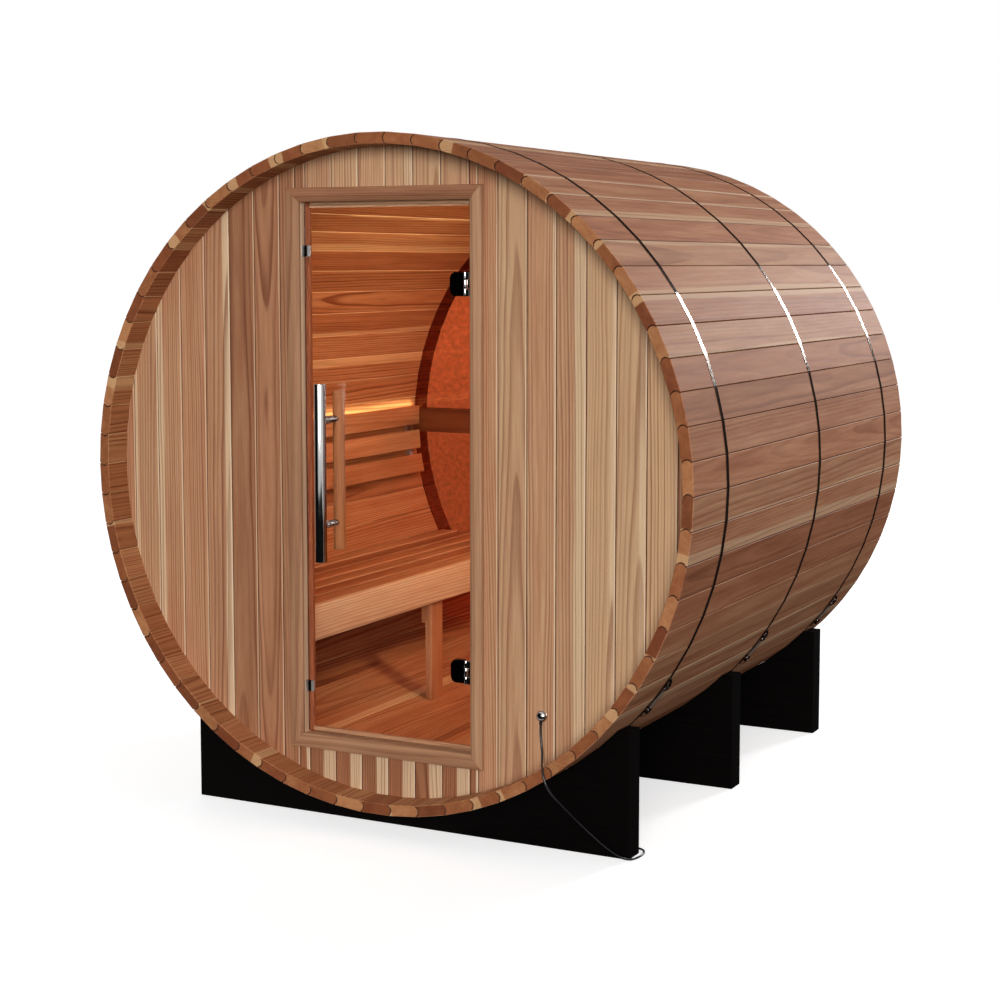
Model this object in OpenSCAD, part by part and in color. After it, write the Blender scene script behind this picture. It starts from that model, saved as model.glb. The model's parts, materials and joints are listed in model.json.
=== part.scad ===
// Barrel sauna on three cradles.
// A barrel of straight staves lies along Y. Its front, with a framed glass door,
// faces -Y, and its back is closed by two half-round panes of bronze glass.
// Origin: on the ground, under the middle of the barrel. +Z is up.

/* [Barrel] */
// Outside diameter of the barrel, across two opposite stave joints
shell_d = 1905; // [1700:5:2300]
// Length of the barrel over the stave ends
shell_l = 1945; // [1600:5:2400]
// Number of staves round the barrel
stave_count = 66; // [54:1:80]
// Thickness of a stave
stave_t = 32; // [26:1:40]
// Height of the lowest stave above the ground
barrel_lift = 74; // [60:1:120]
// Depth of the grooves that hold the front wall and the rear glass
croze_depth = 8; // [5:1:12]

/* [Front wall] */
// Distance from the stave ends back to the front wall
front_recess = 87; // [70:1:140]
// Thickness of the front wall boards
wall_t = 38; // [30:1:46]
// Sideways offset of the doorway from the middle
door_x = -12; // [-60:1:60]
// Height of the doorway's middle above the barrel's axis
door_z = 0; // [-40:1:40]
// Clear width of the doorway
door_open_w = 550; // [480:5:660]
// Clear height of the doorway
door_open_h = 1536; // [1300:5:1600]
// Thickness of the boards of the door frame
frame_t = 20; // [16:1:28]
// Width that the door stop stands out from the frame
stop_w = 16; // [10:1:20]
// Depth of the door stop
stop_t = 12; // [8:1:15]
// Width of the mitred casing boards
casing_w = 40; // [30:1:60]
// Thickness of the casing boards
casing_t = 15; // [10:1:22]

/* [Glass door] */
// Thickness of the door glass
door_glass_t = 8; // [6:1:10]
// Distance from the wall's front down to the front of the glass
door_set = 9; // [8:1:11]
// Gap between the glass and the frame, all round
door_gap = 7; // [5:1:9]
// Height of each hinge
hinge_h = 66; // [50:1:90]
// Width of the hinge plates on the glass
hinge_plate_w = 42; // [34:1:60]
// Distance of each hinge from the door's middle
hinge_offset = 538; // [420:1:600]
// Distance from the frame to the hinge pin
pin_inset = 18; // [16:1:22]
// Radius of the hinge knuckles
knuckle_r = 5; // [4:0.5:6]
// Radius of the hinge pins
pin_r = 2.5; // [2:0.1:3]
// Distance of each door catch from the door's middle
catch_offset = 630; // [420:1:680]
// Height of each door catch
catch_h = 34; // [24:1:50]

/* [Handles] */
// Diameter of both handles
handle_d = 35; // [28:1:42]
// Length of the steel handle on the outside
outer_handle_l = 510; // [360:5:700]
// Length of the wooden handle on the inside
inner_handle_l = 460; // [360:5:700]
// Distance from the glass's free edge to the handles
handle_inset = 78; // [60:1:120]
// Distance from the middle of the glass to the middle of a handle
handle_reach = 52; // [45:1:55]
// Distance between the two fixings
fixing_spacing = 300; // [240:5:330]

/* [Rear] */
// Distance from the rear stave ends in to the glass
rear_recess = 90; // [70:1:140]
// Thickness of the bronze glass
rear_glass_t = 8; // [6:1:12]
// Height of the rail between the two panes
rail_h = 90; // [70:1:130]
// Thickness of the rail
rail_t = 40; // [30:1:50]

/* [Bench] */
// Height of the seat above the lowest stave's inner face
seat_h = 504; // [430:1:560]
// Distance from the barrel's middle plane to the bench front
bench_front = 320; // [280:1:420]
// Thickness of the seat slats
seat_t = 25; // [20:1:34]
// Number of seat slats
seat_slats = 6; // [4:1:8]
// Gap between seat slats
seat_gap = 10; // [6:1:16]
// Gap between the last slat and the staves
seat_back_gap = 20; // [8:1:50]
// Height of the front board
fascia_h = 105; // [80:1:140]
// Thickness of the front board
fascia_t = 20; // [16:1:28]
// Width of a post
post_w = 75; // [50:1:100]
// Thickness of a post
post_t = 24; // [18:1:34]
// Height of a bearer under the seat
bearer_h = 80; // [60:1:110]
// Thickness of a bearer
bearer_t = 22; // [18:1:34]
// Gap at each end of the bench and the backrest
end_gap = 7; // [4:1:20]

/* [Backrest] */
// Number of backrest slats
back_slats = 3; // [2:1:4]
// Height of a backrest slat
back_slat_h = 70; // [50:1:90]
// Thickness of a backrest slat
back_slat_t = 20; // [16:1:28]
// Gap between backrest slats
back_gap = 21; // [10:1:40]
// Distance of the backrest slats from the staves
back_stand = 14; // [13:1:24]
// Height of the top slat's middle above the barrel's axis
back_top = 19; // [0:1:60]
// Width of the steel strips that carry the backrest
strip_w = 25; // [18:1:40]

/* [Bands] */
// Distance from the front stave ends to the first band
band_first = 247; // [240:1:300]
// Distance from the front stave ends to the second band
band_second = 1035; // [900:1:1150]
// Distance from the front stave ends to the third band
band_third = 1737; // [1300:1:1800]
// Width of a steel band
band_w = 20; // [14:1:26]
// Thickness of a steel band
band_t = 0.8; // [0.6:0.1:1.2]
// Angle of the band clamps below the horizontal, moved to the nearest stave joint
clamp_angle = 37; // [25:1:45]
// Length of a band clamp
clamp_l = 120; // [80:1:150]

/* [Cradles] */
// Width of a cradle across the barrel
cradle_w = 1424; // [1200:2:1560]
// Height of a cradle
cradle_h = 355; // [300:1:420]
// Thickness of a cradle
cradle_t = 76; // [60:1:90]
// Distance from the front stave ends to the first cradle
cradle_first = 153; // [120:1:160]
// Distance between cradles
cradle_pitch = 799; // [660:1:805]

/* [Lead] */
// Sideways place of the cable cap on the front wall
cap_x = 481; // [440:1:520]
// Height of the cable cap above the ground
cap_z = 389; // [380:1:400]
// Radius of the cable cap
cap_r = 16; // [12:1:20]
// Diameter of the lead
lead_d = 6; // [5:0.5:7]

/* [Hidden] */
$fn = 96;

// Clearance at a seat, and the running clearance of a hinge pin
seat = 0.3;
pin_play = 0.05;
// Overlap of solids that are fused, and how far a cut runs past its solid
overrun = 1;
// A length that passes right through anything
through = 3000;
// Sides of the circles that the cradles and strips follow, and of the cap's dome
saddle_fn = 180;
dome_fn = 64;

// Barrel
stave_angle = 360 / stave_count;
shell_r = shell_d / 2;
outer_flat = shell_r * cos(stave_angle / 2);
inner_flat = outer_flat - stave_t;
axis_h = outer_flat + barrel_lift;
front_end = -shell_l / 2;
rear_end = shell_l / 2;
side_share = 0.12;
side_staves = round(stave_count * side_share);
floor_staves_n = 9;
roof_staves_n = stave_count - floor_staves_n - 6 * side_staves;

// Front wall and doorway
wall_front = front_end + front_recess;
wall_back = wall_front + wall_t;
open_left = door_x - door_open_w / 2;
open_right = door_x + door_open_w / 2;
open_low = door_z - door_open_h / 2;
open_high = door_z + door_open_h / 2;

// Glass door
glass_front = wall_front + door_set;
glass_back = glass_front + door_glass_t;
glass_left = open_left + door_gap;
glass_right = open_right - door_gap;
pin_x = open_right - pin_inset;
pin_stand = 3;
pin_y = glass_front - knuckle_r - pin_stand;
hinge_plate_t = 4.5;
back_plate_t = 3;
// Gap between the hinge plates and the knuckle, and the web that bridges it
plate_gap = 3;
plate_right = pin_x - knuckle_r - plate_gap;
hinge_screw_x = plate_right - hinge_plate_w / 2;
web_t = 3;
web_lap = 3;
web_past_pin = 2;
knuckle_half = 12;
knuckle_play = 0.5;
screw_r = 5;
catch_t = 1.2;
catch_proud = 4;
leaf_t = 3;
handle_x = glass_left + handle_inset;
glass_mid = (glass_front + glass_back) / 2;
stem_r = 6;
inner_stem_r = 7;
collar_r = 11;
collar_t = 6;

// Rear
glass_in = rear_end - rear_recess - rear_glass_t;
glass_out = rear_end - rear_recess;
rail_groove = 10;
rail_front = (glass_in + glass_out) / 2 - rail_t / 2;

// Bench, heights from the barrel's axis
seat_top = -inner_flat + seat_h;
seat_under = seat_top - seat_t;
room_front = wall_back + end_gap;
room_rear = rail_front - end_gap;
seat_limit = sqrt(pow(inner_flat, 2) - pow(seat_under, 2)) - seat_back_gap;
seat_from = bench_front + fascia_t;
slat_w = (seat_limit - seat_from - seat_gap * (seat_slats - 1)) / seat_slats;
post_y = [room_front, (room_front + room_rear - post_w) / 2, room_rear - post_w];
tab_t = 14;
tab_drop = 73;

// Backrest
back_r = inner_flat - back_stand - back_slat_t;
back_corner_r = norm([back_r + back_slat_t, back_slat_h / 2]);
back_step = (back_slat_h + back_gap) / back_r * 180 / PI;
back_angle = asin(back_top / back_r);
strip_inset = 30;
// Angles that the strips run past the middle of the bottom slat and of the top slat
strip_past_low = 1.5;
strip_past_high = 0.2;
light_t = 8;
light_h = 12;
light_rise = 26;

// Bands
band_y = [front_end + band_first, front_end + band_second, front_end + band_third];
band_seat = 0.2;
lug_t = 16;
lug_rise = 15;
bolt_r = 3.5;
bolt_rise = 9;
clamp_joint = round((90 - clamp_angle) / stave_angle + 0.5);
clamp_at = 90 - (clamp_joint - 0.5) * stave_angle;

// Cradles, with the room beside a band that passes over one
band_ease = 1;
cradle_y = [for (i = [0:2]) front_end + cradle_first + i * cradle_pitch];

// Lead: points of its free run, chosen by hand, from the cap to the coil
lead_r = lead_d / 2;
cap_t = 12;
outlet_l = 6;
outlet_in = 4;
outlet_wall = 1;
outlet_stand = 7;
lead_exit = [cap_x, wall_front - outlet_stand, cap_z - cap_r - outlet_l];
lead_route = [
    lead_exit, [481, -893, 352], [482, -894, 337], [484, -896, 322], [487, -899, 307],
    [491, -904, 293], [495, -912, 281], [500, -923, 272], [505, -936, 268], [511, -949, 270],
    [518, -962, 275], [525, -975, 277], [532, -987, 272], [538, -995, 260], [543, -998, 245],
    [549, -997, 230], [556, -992, 215], [564, -984, 199], [575, -972, 180], [588, -958, 159],
    [602, -943, 137], [617, -928, 115], [633, -913, 93], [650, -898, 71], [667, -883, 50],
    [684, -867, 31], [700, -851, 16], [714, -833, 7], [723, -814, 3.4], [728, -795, 3.2],
    [730, -776, 3.2], [729, -757, 3.2], [724, -739, 3.2], [714, -724, 3.2], [699, -716, 3.2],
    [681, -713, 3.2], [662, -712, 3.2], [643, -711, 3.2], [615.5, -711, 3.2]
];
lead_steps = 2;
lead_sides = 8;
coil_at = [600, -673];
coil_mean_r = 32;
coil_outer_turn_r = coil_mean_r + lead_d;
coil_w = 18;
coil_h = 12;
plug_l = 40;
plug_w = 28;
plug_h = 22;
relief_l = 22;
relief_wall = 2;
blade_l = 17;
blade_t = 1.6;
blade_w = 6.4;
blade_apart = 12.8;

// Lays a flat outline, drawn as X and height above the barrel's axis, along Y
module along(y0, y1) {
    translate([0, y1, axis_h]) rotate([90, 0, 0]) linear_extrude(y1 - y0) children();
}

// Corner of the many-sided barrel at stave joint i, for flats at distance flat
function corner(i, flat) = let (a = -90 + (i - 0.5) * stave_angle, r = flat / cos(stave_angle / 2))
    [r * cos(a), r * sin(a)];

// Many-sided outline with its flats at distance flat from the axis
module round_outline(flat) {
    polygon([for (i = [0:stave_count - 1]) corner(i, flat)]);
}

// Outline of a run of staves between two distances
module stave_outline(first, count, inner, outer) {
    polygon(concat(
        [for (i = [first:first + count]) corner(i, outer)],
        [for (i = [first + count:-1:first]) corner(i, inner)]
    ));
}

// A run of staves with the grooves for the front wall and the rear glass
module staves(first, count) {
    color("burlywood") difference() {
        along(front_end, rear_end) stave_outline(first, count, inner_flat, outer_flat);
        along(wall_front, wall_back) round_outline(inner_flat + croze_depth);
        along(glass_in - seat, glass_out + seat) round_outline(inner_flat + croze_depth);
    }
}

module floor_staves() {
    staves(-(floor_staves_n - 1) / 2, floor_staves_n);
}

module side_run(step) {
    staves((floor_staves_n + 1) / 2 + step * side_staves, side_staves);
}

module left_run(step) {
    staves(stave_count - (floor_staves_n - 1) / 2 - (step + 1) * side_staves, side_staves);
}

module roof_staves() {
    staves((floor_staves_n + 1) / 2 + 3 * side_staves, roof_staves_n);
}

// Front wall, in four pieces round the doorway
module wall_piece(x0, x1, z0, z1) {
    color("tan") along(wall_front, wall_back) intersection() {
        round_outline(inner_flat + croze_depth - seat);
        translate([x0, z0]) square([x1 - x0, z1 - z0]);
    }
}

module front_wall_left() {
    wall_piece(-shell_d, open_left - frame_t, -shell_d, shell_d);
}

module front_wall_right() {
    wall_piece(open_right + frame_t, shell_d, -shell_d, shell_d);
}

module front_wall_over_door() {
    wall_piece(open_left - frame_t, open_right + frame_t, open_high + frame_t, shell_d);
}

module front_wall_under_door() {
    wall_piece(open_left - frame_t, open_right + frame_t, -shell_d, open_low - frame_t);
}

// Rectangle round the doorway, grown by an amount
module doorway(grow) {
    translate([open_left - grow, open_low - grow])
        square([door_open_w + 2 * grow, door_open_h + 2 * grow]);
}

module door_frame() {
    color("peru") {
        along(wall_front, wall_back) difference() {
            doorway(frame_t - seat);
            doorway(0);
        }
        along(wall_back - stop_t, wall_back) difference() {
            doorway(overrun);
            doorway(-stop_w);
        }
    }
}

module door_casing() {
    color("sienna") along(wall_front - casing_t, wall_front) difference() {
        doorway(casing_w);
        doorway(0);
    }
}

// Magnetic catch plates on the frame's free side
module door_catches() {
    color("silver") for (side = [-1, 1])
        along(glass_front - catch_proud, wall_back - stop_t - seat)
            translate([open_left + seat, door_z + side * catch_offset - catch_h / 2])
                square([catch_t, catch_h]);
}

// Fixed half of a hinge: a leaf on the frame, two knuckles and the pin
module hinge_leaf(z) {
    color("silver") translate([0, 0, axis_h + z]) {
        translate([open_right - seat - leaf_t, pin_y - knuckle_r, -hinge_h / 2])
            cube([leaf_t, 2 * knuckle_r, hinge_h]);
        for (side = [-1, 1])
            translate([pin_x, pin_y, side * (hinge_h / 2 + knuckle_half + knuckle_play) / 2]) {
                arm_h = hinge_h / 2 - knuckle_half - knuckle_play;
                cylinder(r = knuckle_r, h = arm_h, center = true);
                translate([0, -knuckle_r, -arm_h / 2])
                    cube([open_right - seat - leaf_t / 2 - pin_x, 2 * knuckle_r, arm_h]);
            }
        translate([pin_x, pin_y, 0]) cylinder(r = pin_r, h = hinge_h, center = true);
    }
}

module upper_hinge_leaf() {
    hinge_leaf(door_z + hinge_offset);
}

module lower_hinge_leaf() {
    hinge_leaf(door_z - hinge_offset);
}

module door_glass() {
    color("lightblue", 0.4) difference() {
        along(glass_front, glass_back)
            translate([glass_left, open_low + door_gap])
                square([glass_right - glass_left, door_open_h - 2 * door_gap]);
        for (side = [-1, 1]) {
            through_glass(handle_x, door_z + side * fixing_spacing / 2);
            through_glass(hinge_screw_x, door_z + side * hinge_offset);
        }
    }
}

// Hole through the door glass
module through_glass(x, z) {
    translate([x, glass_back + overrun, axis_h + z]) rotate([90, 0, 0])
        cylinder(r = screw_r + seat, h = door_glass_t + 2 * overrun);
}

// A rod along Y
module rod(x, z, y0, y1, r) {
    translate([x, y1, axis_h + z]) rotate([90, 0, 0]) cylinder(r = r, h = y1 - y0);
}

// D-shaped plate outline, round on the side away from the pin
module plate_outline(z) {
    r = hinge_h / 2;
    left = plate_right - hinge_plate_w;
    translate([0, z]) {
        intersection() {
            translate([left + r, 0]) circle(r = r);
            translate([left, -r]) square([hinge_plate_w, hinge_h]);
        }
        if (hinge_plate_w > r)
            translate([left + r, -r]) square([hinge_plate_w - r, hinge_h]);
    }
}

// Moving half of a hinge: plates on both faces of the glass and the middle knuckle
module hinge_plate(z) {
    color("dimgray") difference() {
        union() {
            along(glass_front - seat - hinge_plate_t, glass_front - seat)
                plate_outline(z);
            along(glass_back + seat, glass_back + seat + back_plate_t)
                plate_outline(z);
            rod(hinge_screw_x, z, glass_front - overrun, glass_back + overrun, screw_r);
            translate([pin_x, pin_y, axis_h + z])
                cylinder(r = knuckle_r, h = 2 * knuckle_half, center = true);
            translate([plate_right - web_lap, glass_front - seat - hinge_plate_t, axis_h + z - knuckle_half])
                cube([pin_x + web_past_pin - plate_right + web_lap, web_t, 2 * knuckle_half]);
        }
        translate([pin_x, pin_y, axis_h + z])
            cylinder(r = pin_r + pin_play, h = hinge_h, center = true);
    }
}

module upper_hinge_plate() {
    hinge_plate(door_z + hinge_offset);
}

module lower_hinge_plate() {
    hinge_plate(door_z - hinge_offset);
}

// Round bar that stands upright beside the glass
module upright_bar(y, length) {
    translate([handle_x, y, axis_h + door_z]) cylinder(d = handle_d, h = length, center = true);
}

module outer_handle() {
    y = glass_mid - handle_reach;
    color("silver") {
        upright_bar(y, outer_handle_l);
        for (side = [-1, 1]) {
            z = door_z + side * fixing_spacing / 2;
            rod(handle_x, z, y, glass_back + seat + collar_t, screw_r);
            rod(handle_x, z, y, glass_front - seat, stem_r);
            rod(handle_x, z, glass_front - seat - collar_t, glass_front - seat, collar_r);
        }
    }
}

module inner_handle() {
    y = glass_mid + handle_reach;
    color("burlywood") difference() {
        union() {
            upright_bar(y, inner_handle_l);
            for (side = [-1, 1]) {
                z = door_z + side * fixing_spacing / 2;
                rod(handle_x, z, glass_back + seat, y, inner_stem_r);
                rod(handle_x, z, glass_back + seat, glass_back + seat + collar_t, collar_r);
            }
        }
        for (side = [-1, 1])
            rod(handle_x, door_z + side * fixing_spacing / 2, glass_back - overrun,
                glass_back + seat + collar_t + seat, screw_r + seat);
    }
}

// Half-round bronze pane above or below the rail
module rear_pane(side) {
    color("chocolate", 0.6) along(glass_in, glass_out) intersection() {
        round_outline(inner_flat + croze_depth - seat);
        translate([-shell_d, side > 0 ? rail_h / 2 - rail_groove + seat : -shell_d])
            square([2 * shell_d, shell_d - rail_h / 2 + rail_groove - seat]);
    }
}

module rear_glass_upper() {
    rear_pane(1);
}

module rear_glass_lower() {
    rear_pane(-1);
}

module rear_rail() {
    color("saddlebrown") difference() {
        along(rail_front, rail_front + rail_t) intersection() {
            round_outline(inner_flat - seat);
            translate([-shell_d, -rail_h / 2]) square([2 * shell_d, rail_h]);
        }
        for (side = [-1, 1])
            translate([0, (glass_in + glass_out) / 2, axis_h + side * rail_h / 2])
                cube([through, rear_glass_t + 2 * seat, 2 * rail_groove], center = true);
    }
}

// Bench along the left side
module bench_seat() {
    color("peru") for (i = [0:seat_slats - 1])
        translate([-seat_from - slat_w - i * (slat_w + seat_gap), room_front, axis_h + seat_under])
            cube([slat_w, room_rear - room_front, seat_t]);
}

module bench_fascia() {
    color("burlywood")
        translate([-bench_front - fascia_t, room_front, axis_h + seat_top - fascia_h])
            cube([fascia_t, room_rear - room_front, fascia_h]);
}

module bench_posts() {
    color("peru") for (y = post_y)
        along(y, y + post_w) intersection() {
            round_outline(inner_flat - seat);
            translate([-seat_from - post_t, -shell_d]) square([post_t, shell_d + seat_under]);
        }
}

// Cross boards from each post back to the staves, with a tab behind the post
module bench_bearers() {
    color("sienna") for (y = post_y)
        along(y, y + bearer_t) intersection() {
            round_outline(inner_flat - seat);
            union() {
                translate([-shell_d, seat_under - bearer_h])
                    square([shell_d - seat_from - post_t, bearer_h]);
                translate([-seat_from - post_t - tab_t, seat_under - bearer_h - tab_drop])
                    square([tab_t, tab_drop + overrun]);
            }
        }
}

// One slat of the backrest, counted down from the top
module back_slat(i) {
    color("burlywood") along(room_front, room_rear)
        rotate(180 - back_angle + i * back_step)
            translate([back_r, -back_slat_h / 2]) square([back_slat_t, back_slat_h]);
}

module backrest_top() {
    back_slat(0);
}

module backrest_middle() {
    for (i = [1:1:back_slats - 2]) back_slat(i);
}

module backrest_bottom() {
    back_slat(back_slats - 1);
}

// Curved steel strips between the staves and the backrest
module backrest_strips() {
    low = back_angle - (back_slats - 1) * back_step - strip_past_low;
    high = back_angle + strip_past_high;
    far = 2 * shell_r;
    ends = [room_front + strip_inset, (room_front + room_rear) / 2, room_rear - strip_inset - strip_w];
    color("silver") for (y = ends)
        along(y, y + strip_w) intersection() {
            difference() {
                round_outline(inner_flat - seat);
                circle(r = back_corner_r + seat, $fn = saddle_fn);
            }
            polygon([[0, 0], far * [-cos(low), sin(low)], far * [-cos(high), sin(high)]]);
        }
}

// Strip light on the staves behind the top slat
module backrest_light() {
    color("gold") along(room_front, room_rear)
        rotate(180 - asin((back_top + light_rise) / inner_flat))
            translate([inner_flat - seat - light_t, -light_h / 2]) square([light_t, light_h]);
}

// Steel band round the staves
module band(i) {
    color("gainsboro") along(band_y[i] - band_w / 2, band_y[i] + band_w / 2) difference() {
        round_outline(outer_flat + band_seat + band_t);
        round_outline(outer_flat + band_seat);
    }
}

module band_front() {
    band(0);
}

module band_middle() {
    band(1);
}

module band_rear() {
    band(2);
}

// Clamp on each band: two lugs on the flats beside a stave joint, drawn together by a bolt
module band_clamps() {
    lug_base = outer_flat + band_seat + band_t;
    color("silver") for (y = band_y)
        translate([0, y, axis_h]) {
            for (side = [-1, 1])
                rotate([0, clamp_at + side * stave_angle / 2, 0])
                    translate([lug_base, -band_w / 2, -lug_t / 2]) cube([lug_rise, band_w, lug_t]);
            rotate([0, clamp_at, 0])
                translate([(lug_base + bolt_rise) * cos(stave_angle / 2), 0, 0])
                    cylinder(r = bolt_r, h = clamp_l, center = true);
        }
}

// Cradle board with a round saddle, eased where a band passes
module cradle(i) {
    y = cradle_y[i];
    color("dimgray") difference() {
        along(y, y + cradle_t) difference() {
            translate([-cradle_w / 2, -axis_h]) square([cradle_w, cradle_h]);
            circle(r = shell_r + seat, $fn = saddle_fn);
        }
        for (b = band_y)
            along(b - band_w / 2 - band_ease, b + band_w / 2 + band_ease)
                circle(r = shell_r + band_seat + band_t + seat, $fn = saddle_fn);
    }
}

module cradle_front() {
    cradle(0);
}

module cradle_middle() {
    cradle(1);
}

module cradle_rear() {
    cradle(2);
}

// Domed cap on the front wall with an outlet for the lead
module cable_cap() {
    color("silver") {
        translate([cap_x, wall_front - seat, cap_z]) rotate([90, 0, 0])
            rotate_extrude() intersection() {
                scale([1, cap_t / cap_r]) circle(r = cap_r, $fn = dome_fn);
                square([cap_r, cap_t]);
            }
        translate([lead_exit[0], lead_exit[1], cap_z - cap_r - outlet_l])
            cylinder(r = lead_r + outlet_wall, h = outlet_l + outlet_in);
    }
}

// Smooth curve through the route's points
function smooth(p0, p1, p2, p3, t) = 0.5 * (2 * p1 + (p2 - p0) * t
    + (2 * p0 - 5 * p1 + 4 * p2 - p3) * t * t + (3 * p1 - p0 - 3 * p2 + p3) * t * t * t);
function route_point(p, i) = p[max(0, min(len(p) - 1, i))];
function smooth_route(p, n) = concat(
    [for (i = [0:len(p) - 2], k = [0:n - 1])
        smooth(route_point(p, i - 1), p[i], p[i + 1], route_point(p, i + 2), k / n)],
    [p[len(p) - 1]]
);
function unit(v) = v / norm(v);
function heading(p, i) = unit(route_point(p, i + 1) - route_point(p, i - 1));
// Sideways direction at each ring, carried on from the ring before
function side_ways(p, i, s) = i >= len(p) ? []
    : let (t = heading(p, i), n = unit(s - (s * t) * t)) concat([n], side_ways(p, i + 1, n));

// Tube of radius r swept along points p
module tube(p, r, sides) {
    n = side_ways(p, 0, [1, 0, 0]);
    rings = [for (i = [0:len(p) - 1], k = [0:sides - 1])
        let (t = heading(p, i), a = 360 * k / sides)
        p[i] + r * (cos(a) * n[i] + sin(a) * cross(t, n[i]))];
    last = (len(p) - 1) * sides;
    walls = [for (i = [0:len(p) - 2], k = [0:sides - 1])
        let (a = i * sides + k, b = i * sides + (k + 1) % sides)
        [a, a + sides, b + sides, b]];
    polyhedron(rings, concat(
        walls, [[for (k = [0:sides - 1]) k]], [[for (k = [sides - 1:-1:0]) last + k]]));
}

module lead() {
    color("black") tube(smooth_route(lead_route, lead_steps), lead_r, lead_sides);
}

module lead_coil() {
    color("black") translate([coil_at[0], coil_at[1], 0]) rotate_extrude()
        translate([coil_mean_r - coil_w / 2, 0]) square([coil_w, coil_h]);
}

// Plug lying beside the coil, with its strain relief towards the coil
module plug() {
    y = coil_at[1] - coil_outer_turn_r;
    relief_x = coil_at[0] - sqrt(pow(coil_mean_r + coil_w / 2, 2) - pow(coil_outer_turn_r, 2));
    body_x = relief_x - relief_l - plug_l;
    color("dimgray") {
        translate([body_x, y - plug_w / 2, 0]) cube([plug_l, plug_w, plug_h]);
        translate([relief_x - relief_l, y, plug_h / 2]) rotate([0, 90, 0])
            cylinder(r = lead_r + relief_wall, h = relief_l);
        for (side = [-1, 1])
            translate([body_x - blade_l, y + (side * blade_apart - blade_t) / 2, (plug_h - blade_w) / 2])
                cube([blade_l + overrun, blade_t, blade_w]);
    }
}

floor_staves();
side_run(0);  // right_lower_staves
side_run(1);  // right_middle_staves
side_run(2);  // right_upper_staves
roof_staves();
left_run(2);  // left_upper_staves
left_run(1);  // left_middle_staves
left_run(0);  // left_lower_staves
front_wall_left();
front_wall_right();
front_wall_over_door();
front_wall_under_door();
door_frame();
door_casing();
door_catches();
upper_hinge_leaf();
lower_hinge_leaf();
door_glass();
upper_hinge_plate();
lower_hinge_plate();
outer_handle();
inner_handle();
rear_glass_upper();
rear_glass_lower();
rear_rail();
bench_seat();
bench_fascia();
bench_posts();
bench_bearers();
backrest_top();
backrest_middle();
backrest_bottom();
backrest_strips();
backrest_light();
band_front();
band_middle();
band_rear();
band_clamps();
cradle_front();
cradle_middle();
cradle_rear();
cable_cap();
lead();
lead_coil();
plug();
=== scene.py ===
"""Looks of the barrel sauna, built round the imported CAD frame. Metres, +Z up, the door faces -Y."""

import json
import math
import random

import bpy
from mathutils import Matrix, Vector


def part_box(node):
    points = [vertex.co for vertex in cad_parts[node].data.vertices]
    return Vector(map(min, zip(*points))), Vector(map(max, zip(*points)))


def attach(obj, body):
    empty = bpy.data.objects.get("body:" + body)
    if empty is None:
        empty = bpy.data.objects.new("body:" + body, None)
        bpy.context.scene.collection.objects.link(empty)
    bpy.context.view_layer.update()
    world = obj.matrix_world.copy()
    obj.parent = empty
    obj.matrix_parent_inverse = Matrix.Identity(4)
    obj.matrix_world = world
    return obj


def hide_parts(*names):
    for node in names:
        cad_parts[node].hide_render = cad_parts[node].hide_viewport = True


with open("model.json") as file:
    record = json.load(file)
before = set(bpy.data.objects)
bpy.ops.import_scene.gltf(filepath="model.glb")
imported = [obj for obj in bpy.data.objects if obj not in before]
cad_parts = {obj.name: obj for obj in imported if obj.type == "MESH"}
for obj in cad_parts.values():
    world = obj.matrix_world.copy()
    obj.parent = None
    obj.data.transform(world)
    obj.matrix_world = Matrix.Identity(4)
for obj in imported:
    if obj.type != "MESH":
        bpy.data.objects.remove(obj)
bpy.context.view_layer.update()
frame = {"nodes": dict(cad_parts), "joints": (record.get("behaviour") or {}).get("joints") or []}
ROOT = "sauna"
DOOR = "door"


# -------- sizes from the frame

STAVES = 66
STAVE_ANGLE = 2 * math.pi / STAVES
STAVE_NODES = {
    "floor_staves": range(-4, 5),
    "right_lower_staves": range(5, 13),
    "right_middle_staves": range(13, 21),
    "right_upper_staves": range(21, 29),
    "roof_staves": range(29, 38),
    "left_upper_staves": range(38, 46),
    "left_middle_staves": range(46, 54),
    "left_lower_staves": range(54, 62),
}
_low, _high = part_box("right_middle_staves")
SHELL_R = _high.x
AXIS_Z = (_low.z + _high.z) / 2
FRONT, REAR = _low.y, _high.y
OUTER_FLAT = SHELL_R * math.cos(STAVE_ANGLE / 2)
STAVE_T = 0.032
INNER_FLAT = OUTER_FLAT - STAVE_T
CROZE = 0.008

WALL_FRONT, WALL_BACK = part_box("front_wall_left")[0].y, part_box("front_wall_left")[1].y
CASING_LOW, CASING_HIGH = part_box("door_casing")
CASING_W = 0.040
OPEN_LEFT, OPEN_RIGHT = CASING_LOW.x + CASING_W, CASING_HIGH.x - CASING_W
OPEN_LOW, OPEN_HIGH = CASING_LOW.z + CASING_W, CASING_HIGH.z - CASING_W
FRAME_T = 0.020
STOP_W, STOP_T = 0.016, 0.012
GLASS_LOW, GLASS_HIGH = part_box("door_glass")
REAR_GLASS = (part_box("rear_glass_upper")[0].y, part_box("rear_glass_upper")[1].y)
PIN = Vector(frame["joints"][0]["pos_m"])
BANDS = ["band_front", "band_middle", "band_rear"]
CRADLES = ["cradle_front", "cradle_middle", "cradle_rear"]
SEAM_INSIDE, SEAM_OUTSIDE = 0.0004, 0.0019
BAND_T, BAND_GAP = 0.0008, 0.0002
# How far boards stay clear of the staves that they meet, and a pane's groove of the pane
EDGE_CLEAR, PANE_CLEAR = 0.0006, 0.0003
REAR_GROOVE = (REAR_GLASS[0] - PANE_CLEAR, REAR_GLASS[1] + PANE_CLEAR)


# -------- camera

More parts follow.
